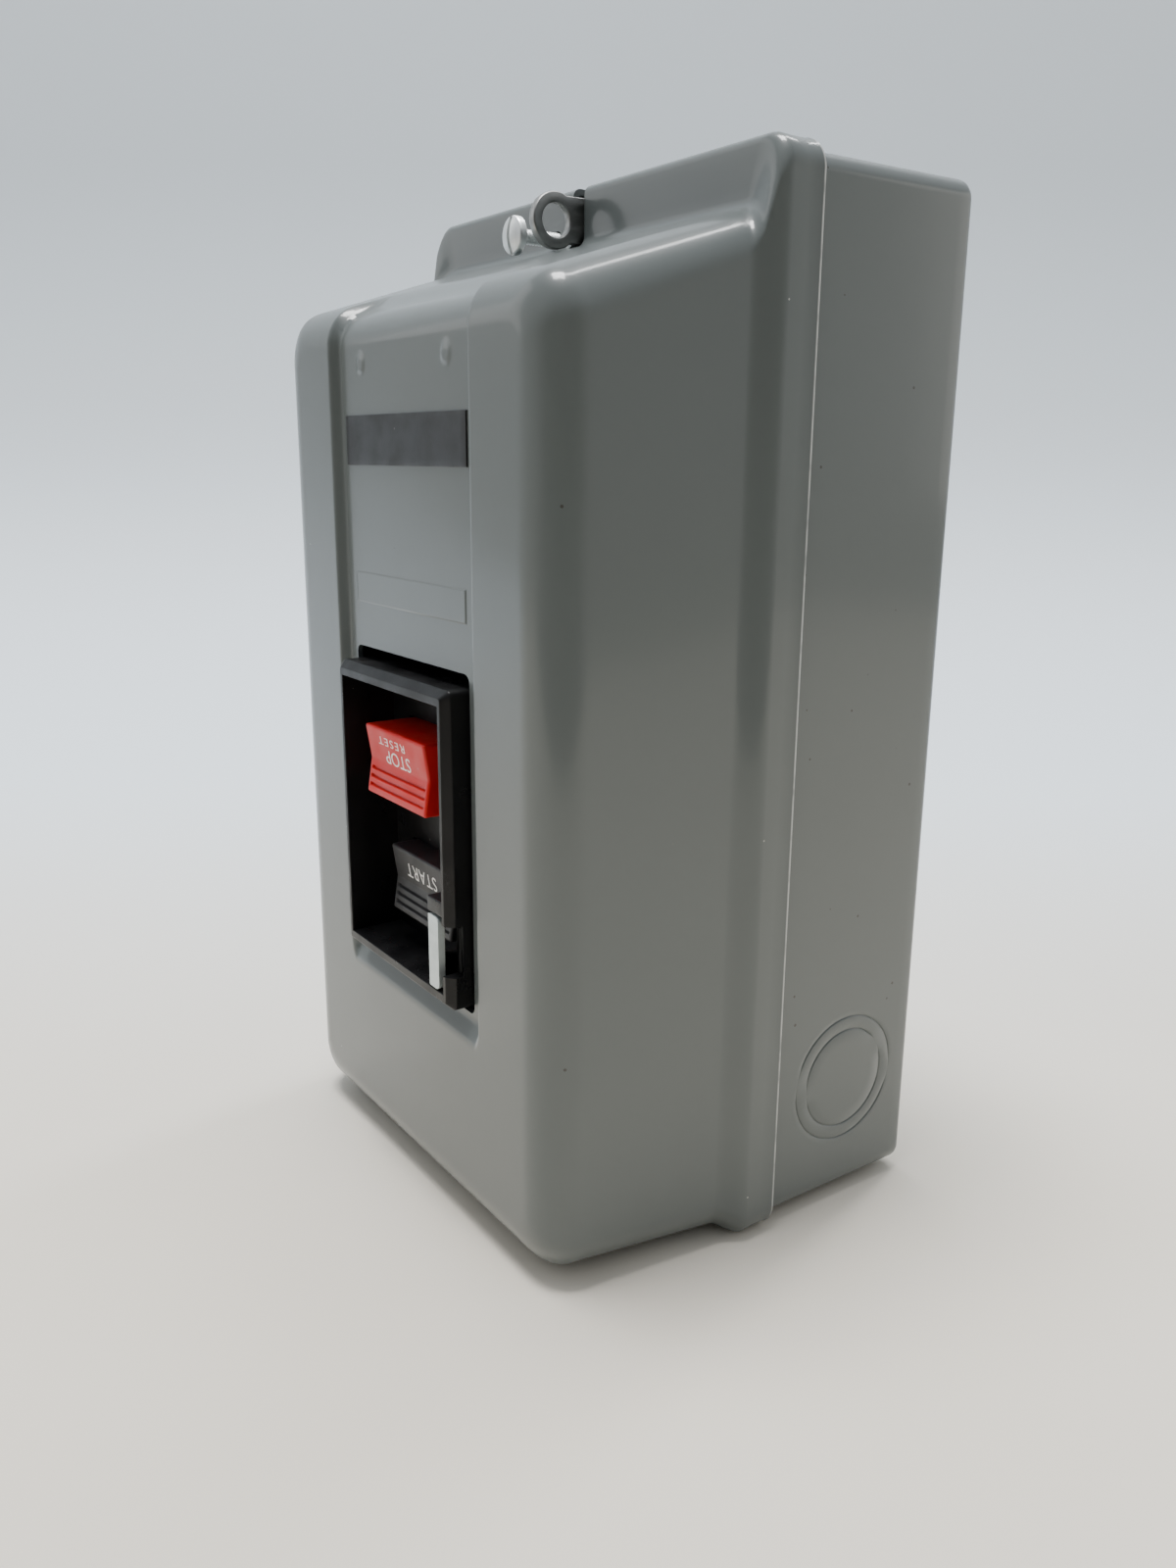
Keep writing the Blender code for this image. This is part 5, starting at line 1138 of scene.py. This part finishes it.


# %% [markdown]
# ## Grey enamel
# The enclosure is sprayed with a glossy grey enamel. Seen close, such paint has a slight orange peel, a long slow swell
# that makes its highlights waver, dust nicks and a few chips. The colour is nearly neutral with a trace of green. The
# gloss is a clear coat over a satin base, which gives the wide soft highlight and the sharp one at once. On the cover,
# a pale line is painted along the skirt's rear edge: a painted highlight on that edge.

# %% Enamel
# A pale line painted on the cover's rear edge as a painted highlight: its two widths and its place from the rear
HIGHLIGHT_LINE, HIGHLIGHT_FROM_REAR = (0.12 * MM, 0.42 * MM), 0.2 * MM


def enamelled(name, highlight_depth=None):
    """Glossy grey paint with nicks. If a depth is given, a pale painted highlight runs along it."""
    material, tree, shader = new_material(name, 0.37, coat=0.6, coat_roughness=0.13, specular=0.2)
    paint = blend_colour(tree, cloudy(tree, 12.0, 1.0, 0.3, 0.7), (0.113, 0.128, 0.126), (0.118, 0.133, 0.131))
    nick = effect(tree, specks, Scale=170.0, Size=0.05, Share=0.12)
    paint = stain(tree, paint, nick, 0.8, (0.05, 0.045, 0.04))
    pale = effect(tree, specks, Scale=230.0, Size=0.04, Share=0.05)
    paint = stain(tree, paint, pale, 0.6, (0.55, 0.55, 0.52))
    if highlight_depth is not None:
        # Painted highlight: a pale, patchy line along the given depth
        off_line = maths(tree, "ABSOLUTE", maths(tree, "ADD", axis_of(tree, object_place(tree), "Y"), highlight_depth))
        highlight_strength = cloudy(tree, 240.0, 2.0, 0.25, 0.55, 0.35, 0.9)
        paint = stain(tree, paint, spread(tree, off_line, *HIGHLIGHT_LINE, 1.0, 0.0), highlight_strength, (0.45, 0.46, 0.45))
    tree.links.new(paint, shader.inputs["Base Color"])
    peel = maths(tree, "MULTIPLY", effect(tree, grain, Scale=420.0, Detail=1.0), 0.5)
    swell = maths(tree, "MULTIPLY", effect(tree, grain, Scale=75.0, Detail=1.0), 3.0)
    bump(tree, shader, maths(tree, "SUBTRACT", maths(tree, "ADD", peel, swell), nick), 0.03 * MM, 0.6)
    return material


enamel = enamelled("grey_enamel_paint")
cover_enamel = enamelled("cover_enamel_paint", SKIRT_REAR + HIGHLIGHT_FROM_REAR)
print(enamel.name, cover_enamel.name)

# %% [markdown]
# ## Plastics
# The black and red parts are compression-moulded plastic with a satin skin. Handling leaves lighter patches and fine
# scuffs, and pale dust settles on faces that look up. The thermoset blocks inside are dark brown, with a fine speckle
# from their filler.

# %% Moulded plastics
SMOOTHER, ROUGHER = 0.08, 0.12


def moulded(name, colour, scuffed, roughness, speckle=0.0, dusty=0.25, specular=0.45):
    """A satin moulding of a colour with lighter scuffs, a filler speckle and settled dust."""
    material, tree, shader = new_material(name, roughness, specular=specular)
    tint = stain(tree, colour, cloudy(tree, 95.0, 5.0, 0.48, 0.72), 0.5, scuffed)
    if speckle:
        tint = stain(tree, tint, effect(tree, specks, Scale=900.0, Size=0.3, Share=0.3), speckle, scuffed)
    tint = stain(tree, tint, effect(tree, specks, Scale=330.0, Size=0.07, Share=0.16), 0.35, (0.3, 0.29, 0.27))
    tint = blend_colour(tree, effect(tree, dust, Amount=dusty, Scale=160.0), tint, (0.2, 0.2, 0.2))
    tree.links.new(tint, shader.inputs["Base Color"])
    tree.links.new(cloudy(tree, 140.0, 4.0, 0.3, 0.75, roughness - SMOOTHER, roughness + ROUGHER),
                   shader.inputs["Roughness"])
    bump(tree, shader, effect(tree, grain, Scale=1500.0, Detail=2.0), 0.02 * MM, 0.5)
    return material


black = moulded("black_satin_moulding", (0.005, 0.005, 0.0055), (0.009, 0.009, 0.010), 0.34, dusty=0.03, specular=0.24)
brown = moulded("brown_thermoset", (0.05, 0.03, 0.02), (0.11, 0.075, 0.05), 0.42, speckle=0.5)
red = moulded("red_button_plastic", (0.58, 0.009, 0.008), (0.61, 0.022, 0.019), 0.42, dusty=0.03, specular=0.3)
dark = moulded("dark_button_plastic", (0.024, 0.024, 0.026), (0.045, 0.045, 0.048), 0.45, dusty=0.1, specular=0.35)
sticker = moulded("black_label_film", (0.007, 0.007, 0.0075), (0.013, 0.013, 0.0135), 0.42, dusty=0.05)
print([material.name for material in (black, brown, red, dark, sticker)])

# %% White printing ink
ink, tree, shader = new_material("white_ink", 0.5)
worn = cloudy(tree, 1400.0, 3.0, 0.62, 0.75)
tree.links.new(blend_colour(tree, worn, (0.9, 0.89, 0.87), (0.62, 0.55, 0.53)), shader.inputs["Base Color"])
print(ink.name)

# %% [markdown]
# ## Metals
# Zinc plate is bright with a faint blotchy bloom, bare steel is dark and oiled, and copper has gone brown in patches.
# Each metal's grain follows how it was made: streaks along the rolling direction, or lines across a stack of iron
# sheets.

# %% Metals
BLOOM, SPOTTED, SPOT_DARK, FILM = 0.6, 0.35, 0.35, 0.1
# Painted shade: the near-black laid on the slide's blade inside the bezel's pocket, and how wide its edge fades
POCKET_SHADE, POCKET_SHADE_EDGE = (0.025, 0.024, 0.022), 1 * MM


def metal(name, colour, dull, roughness, stretch, shaded_behind=None, metallic=1.0):
    """A metal with streaks of roughness, blotches of a duller colour and a little dust, and painted shade behind a
    depth.
    """
    material, tree, shader = new_material(name, roughness, metallic=metallic)
    tint = stain(tree, colour, cloudy(tree, 130.0, 6.0, 0.4, 0.72), BLOOM, dull)
    spot = effect(tree, specks, Scale=420.0, Size=0.12, Share=0.2)
    tint = stain(tree, tint, spot, SPOTTED, [SPOT_DARK * part for part in dull])
    tint = blend_colour(tree, effect(tree, dust, Amount=FILM, Scale=120.0), tint, (0.3, 0.29, 0.27))
    # Painted shade on the part that sits deep in the bezel's pocket, behind the given depth
    if shaded_behind is not None:
        y = axis_of(tree, object_place(tree), "Y")
        tint = blend_colour(tree, spread(tree, y, -shaded_behind, POCKET_SHADE_EDGE - shaded_behind), tint, POCKET_SHADE)
    tree.links.new(tint, shader.inputs["Base Color"])
    lines = effect(tree, streaks, **dict(zip("XYZ", stretch)))
    tree.links.new(spread(tree, lines, 0.3, 0.7, roughness - SMOOTHER, roughness + ROUGHER), shader.inputs["Roughness"])
    bump(tree, shader, lines, 0.01 * MM, 0.25)
    return material


zinc = metal("bright_zinc", (0.9, 0.92, 0.91), (0.74, 0.76, 0.75), 0.42, (200, 200, 1100))
slide_zinc = metal("worn_slide_zinc", (0.60, 0.66, 0.66), (0.47, 0.52, 0.52), 0.45, (150, 150, 700),
                   shaded_behind=slide_front - SLIDE_WALL, metallic=0.6)
steel = metal("dark_oiled_steel", (0.36, 0.36, 0.35), (0.24, 0.235, 0.225), 0.42, (300, 300, 1200))
copper = metal("aged_copper", (0.66, 0.33, 0.21), (0.32, 0.17, 0.11), 0.33, (2200, 300, 300))
iron = metal("stacked_iron", (0.2, 0.2, 0.2), (0.12, 0.11, 0.1), 0.42, (4000, 120, 120))
alloy = metal("bronze_heater_alloy", (0.55, 0.5, 0.42), (0.35, 0.28, 0.2), 0.34, (900, 300, 900))
green = metal("green_screw_lacquer", (0.05, 0.27, 0.1), (0.03, 0.16, 0.06), 0.36, (300, 300, 1500))
print([material.name for material in (zinc, slide_zinc, steel, copper, iron, alloy, green)])

# %% [markdown]
# The coil is wound over with varnished cloth tape. A weave of two crossed waves gives the cloth its bump, and the
# varnish its patchy brown.

# %% Varnished tape
tape, tree, shader = new_material("varnished_tape", 0.5)
place = object_place(tree)
threads = [add_node(tree, "ShaderNodeTexWave", settings={"wave_type": "BANDS", "bands_direction": axis}, Vector=place,
                    Scale=380.0, Distortion=0.6).outputs[1] for axis in ("X", "Z")]
weave = maths(tree, "MAXIMUM", *threads)
cloth = blend_colour(tree, cloudy(tree, 120.0, 4.0, 0.35, 0.7), (0.36, 0.24, 0.09), (0.22, 0.13, 0.05))
tree.links.new(stain(tree, cloth, weave, 0.3, (0.5, 0.38, 0.18)), shader.inputs["Base Color"])
bump(tree, shader, weave, 0.05 * MM, 0.6)
print(tape.name)

# %% [markdown]
# ## Finishes on the pieces
# Each new piece gets the finish of its slot. A CAD node that stays in view keeps its shape, and only its material
# changes. The CAD material's name is its slot, so the same table serves both.

# %% Put the finishes on
FINISHES = {"grey_enamel": enamel, "black_moulding": black, "brown_moulding": brown, "red_plastic": red,
            "dark_plastic": dark, "zinc_plate": zinc, "dark_steel": steel, "copper": copper, "laminated_iron": iron,
            "coil_tape": tape, "heater_alloy": alloy, "green_screw": green, "black_label": sticker}


def paint_piece(piece, material):
    """Gives a piece one material."""
    piece.data.materials.clear()
    piece.data.materials.append(material)


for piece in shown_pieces():
    if "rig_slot" in piece:
        paint_piece(piece, FINISHES[piece["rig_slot"]])
for word in words:
    paint_piece(word, ink)
paint_piece(cover, cover_enamel)
paint_piece(slide, slide_zinc)
shown = {name: node for name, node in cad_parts.items() if not node.hide_render}
for node in shown.values():
    node.material_slots[0].material = FINISHES[node.material_slots[0].material.name.split(".")[0]]
print(f"{len(shown)} CAD nodes stay in view: {sorted(shown)}")

# %% [markdown]
# ## Floor, backdrop and light
# The starter stands on a pale sheet that curves up behind it, like a roll of paper in a small studio. The sheet is a
# profile, flat then a wide quarter circle then upright, carried sideways. It faces the camera, so its profile runs
# along the view. The light is soft and mostly from above: a pale room, one lamp overhead, and a long one further back,
# which draws the bright line along the nose's upper right edge. Weaker lamps stand in front on the left, at the left,
# and behind on the right. Behind the camera the room is dark, and the gloss mirrors that as a dark band down each
# upright edge.

# %% Paper sweep
FLOOR_Z = CAD_BOX[0][2]
SWEEP_BACK, SWEEP_ROUND, SWEEP_FRONT, SWEEP_HIGH, SWEEP_WIDE = 0.62, 0.35, 0.5, 1.2, 2.4
FOLD_FROM, FOLD_TO = -0.1, 0.35
UPRIGHT_FROM, UPRIGHT_TO = FLOOR_Z + 0.02, FLOOR_Z + 0.2
away = np.array([-math.sin(AZIMUTH), math.cos(AZIMUTH), 0])
sideways = np.array([math.cos(AZIMUTH), math.sin(AZIMUTH), 0])
bend = quarter(24)
run = np.concatenate([[-SWEEP_FRONT], SWEEP_BACK - SWEEP_ROUND + SWEEP_ROUND * np.sin(bend), [SWEEP_BACK]])
rise = np.concatenate([[0], SWEEP_ROUND * (1 - np.cos(bend)), [SWEEP_HIGH]])
across = np.linspace(-SWEEP_WIDE / 2, SWEEP_WIDE / 2, 9)
points = (run[:, None, None] * away + across[None, :, None] * sideways
          + (FLOOR_Z + rise)[:, None, None] * np.array([0, 0, 1]))
paper = new_object("paper_sweep", shell_mesh("paper_sweep", points, grid_faces(len(run), len(across))[:, ::-1]))
paper_finish, tree, shader = new_material("pale_paper", 0.75, specular=0.3)
place = object_place(tree)
# Painted light and shade: the one sheet is painted warmer in front, bluer at the fold and darker up its upright part,
# for warmer light in front, cooler light at the fold and less light on the upright
near = blend_colour(tree, cloudy(tree, 7.0, 3.0, 0.3, 0.7), (0.79, 0.73, 0.63), (0.82, 0.76, 0.66))
fold = blend_colour(tree, spread(tree, how_far(tree, place, away), FOLD_FROM, FOLD_TO), near, (0.82, 0.89, 0.95))
upright = spread(tree, axis_of(tree, place, "Z"), UPRIGHT_FROM, UPRIGHT_TO)
tree.links.new(blend_colour(tree, upright, fold, (0.58, 0.63, 0.67)), shader.inputs["Base Color"])
paint_piece(paper, paper_finish)
print(f"floor at {FLOOR_Z / MM:.1f} mm")

# %% Light
TO_CAMERA = (0.80, -0.58, 0.0)
ROOM_STRENGTH = 0.85
world = bpy.data.worlds.new("studio_surroundings")
bpy.context.scene.world = world
world.use_nodes = True
tree = world.node_tree
direction = tree.nodes.new("ShaderNodeTexCoord").outputs["Generated"]
toward, height = how_far(tree, direction, TO_CAMERA), axis_of(tree, direction, "Z")
haze = blend_colour(tree, spread(tree, height, -0.12, 0.06), (0.55, 0.54, 0.51), (0.66, 0.69, 0.72))
room = blend_colour(tree, spread(tree, toward, 0.4, 0.85), haze, (0.03, 0.027, 0.022))
sky = blend_colour(tree, spread(tree, height, 0.2, 0.75), room, (0.66, 0.70, 0.75))
tree.links.new(sky, tree.nodes["Background"].inputs["Color"])
tree.nodes["Background"].inputs["Strength"].default_value = ROOM_STRENGTH


def add_lamp(name, place, target, wide, long, power, colour=(1, 1, 1)):
    """A lamp at a place, turned to face a target. Its length runs along the way it faces."""
    lamp = bpy.data.lights.new(name, "AREA")
    lamp.shape = "RECTANGLE"
    lamp.size, lamp.size_y = wide, long
    lamp.energy = power
    lamp.color = colour
    ahead = np.subtract(target, place)
    ahead /= np.linalg.norm(ahead)
    side = np.cross(ahead, [0, 0, 1])
    side /= np.linalg.norm(side)
    stand(new_object(name, lamp), side, np.cross(side, ahead), -ahead, place)


add_lamp("overhead_lamp", (-0.15, -0.25, 1.8), (0, -0.03, 0), 0.6, 0.6, 43.0)
add_lamp("ceiling_strip", (-0.12, 0.55, 1.7), (0, -0.03, 0), 0.15, 1.2, 13.0)
add_lamp("left_lamp", (-1.2, -0.7, 0.7), (0, -0.05, 0), 1.0, 1.0, 3.4)
add_lamp("edge_lamp", (-1.35, 0.1, 0.75), (0, -0.05, 0), 0.35, 0.35, 4.0)
add_lamp("right_lamp", (0.5, 0.95, 0.3), (0, -0.05, 0), 0.6, 0.6, 1.4, (1, 0.97, 0.9))
print("lamps:", len(bpy.data.lights))
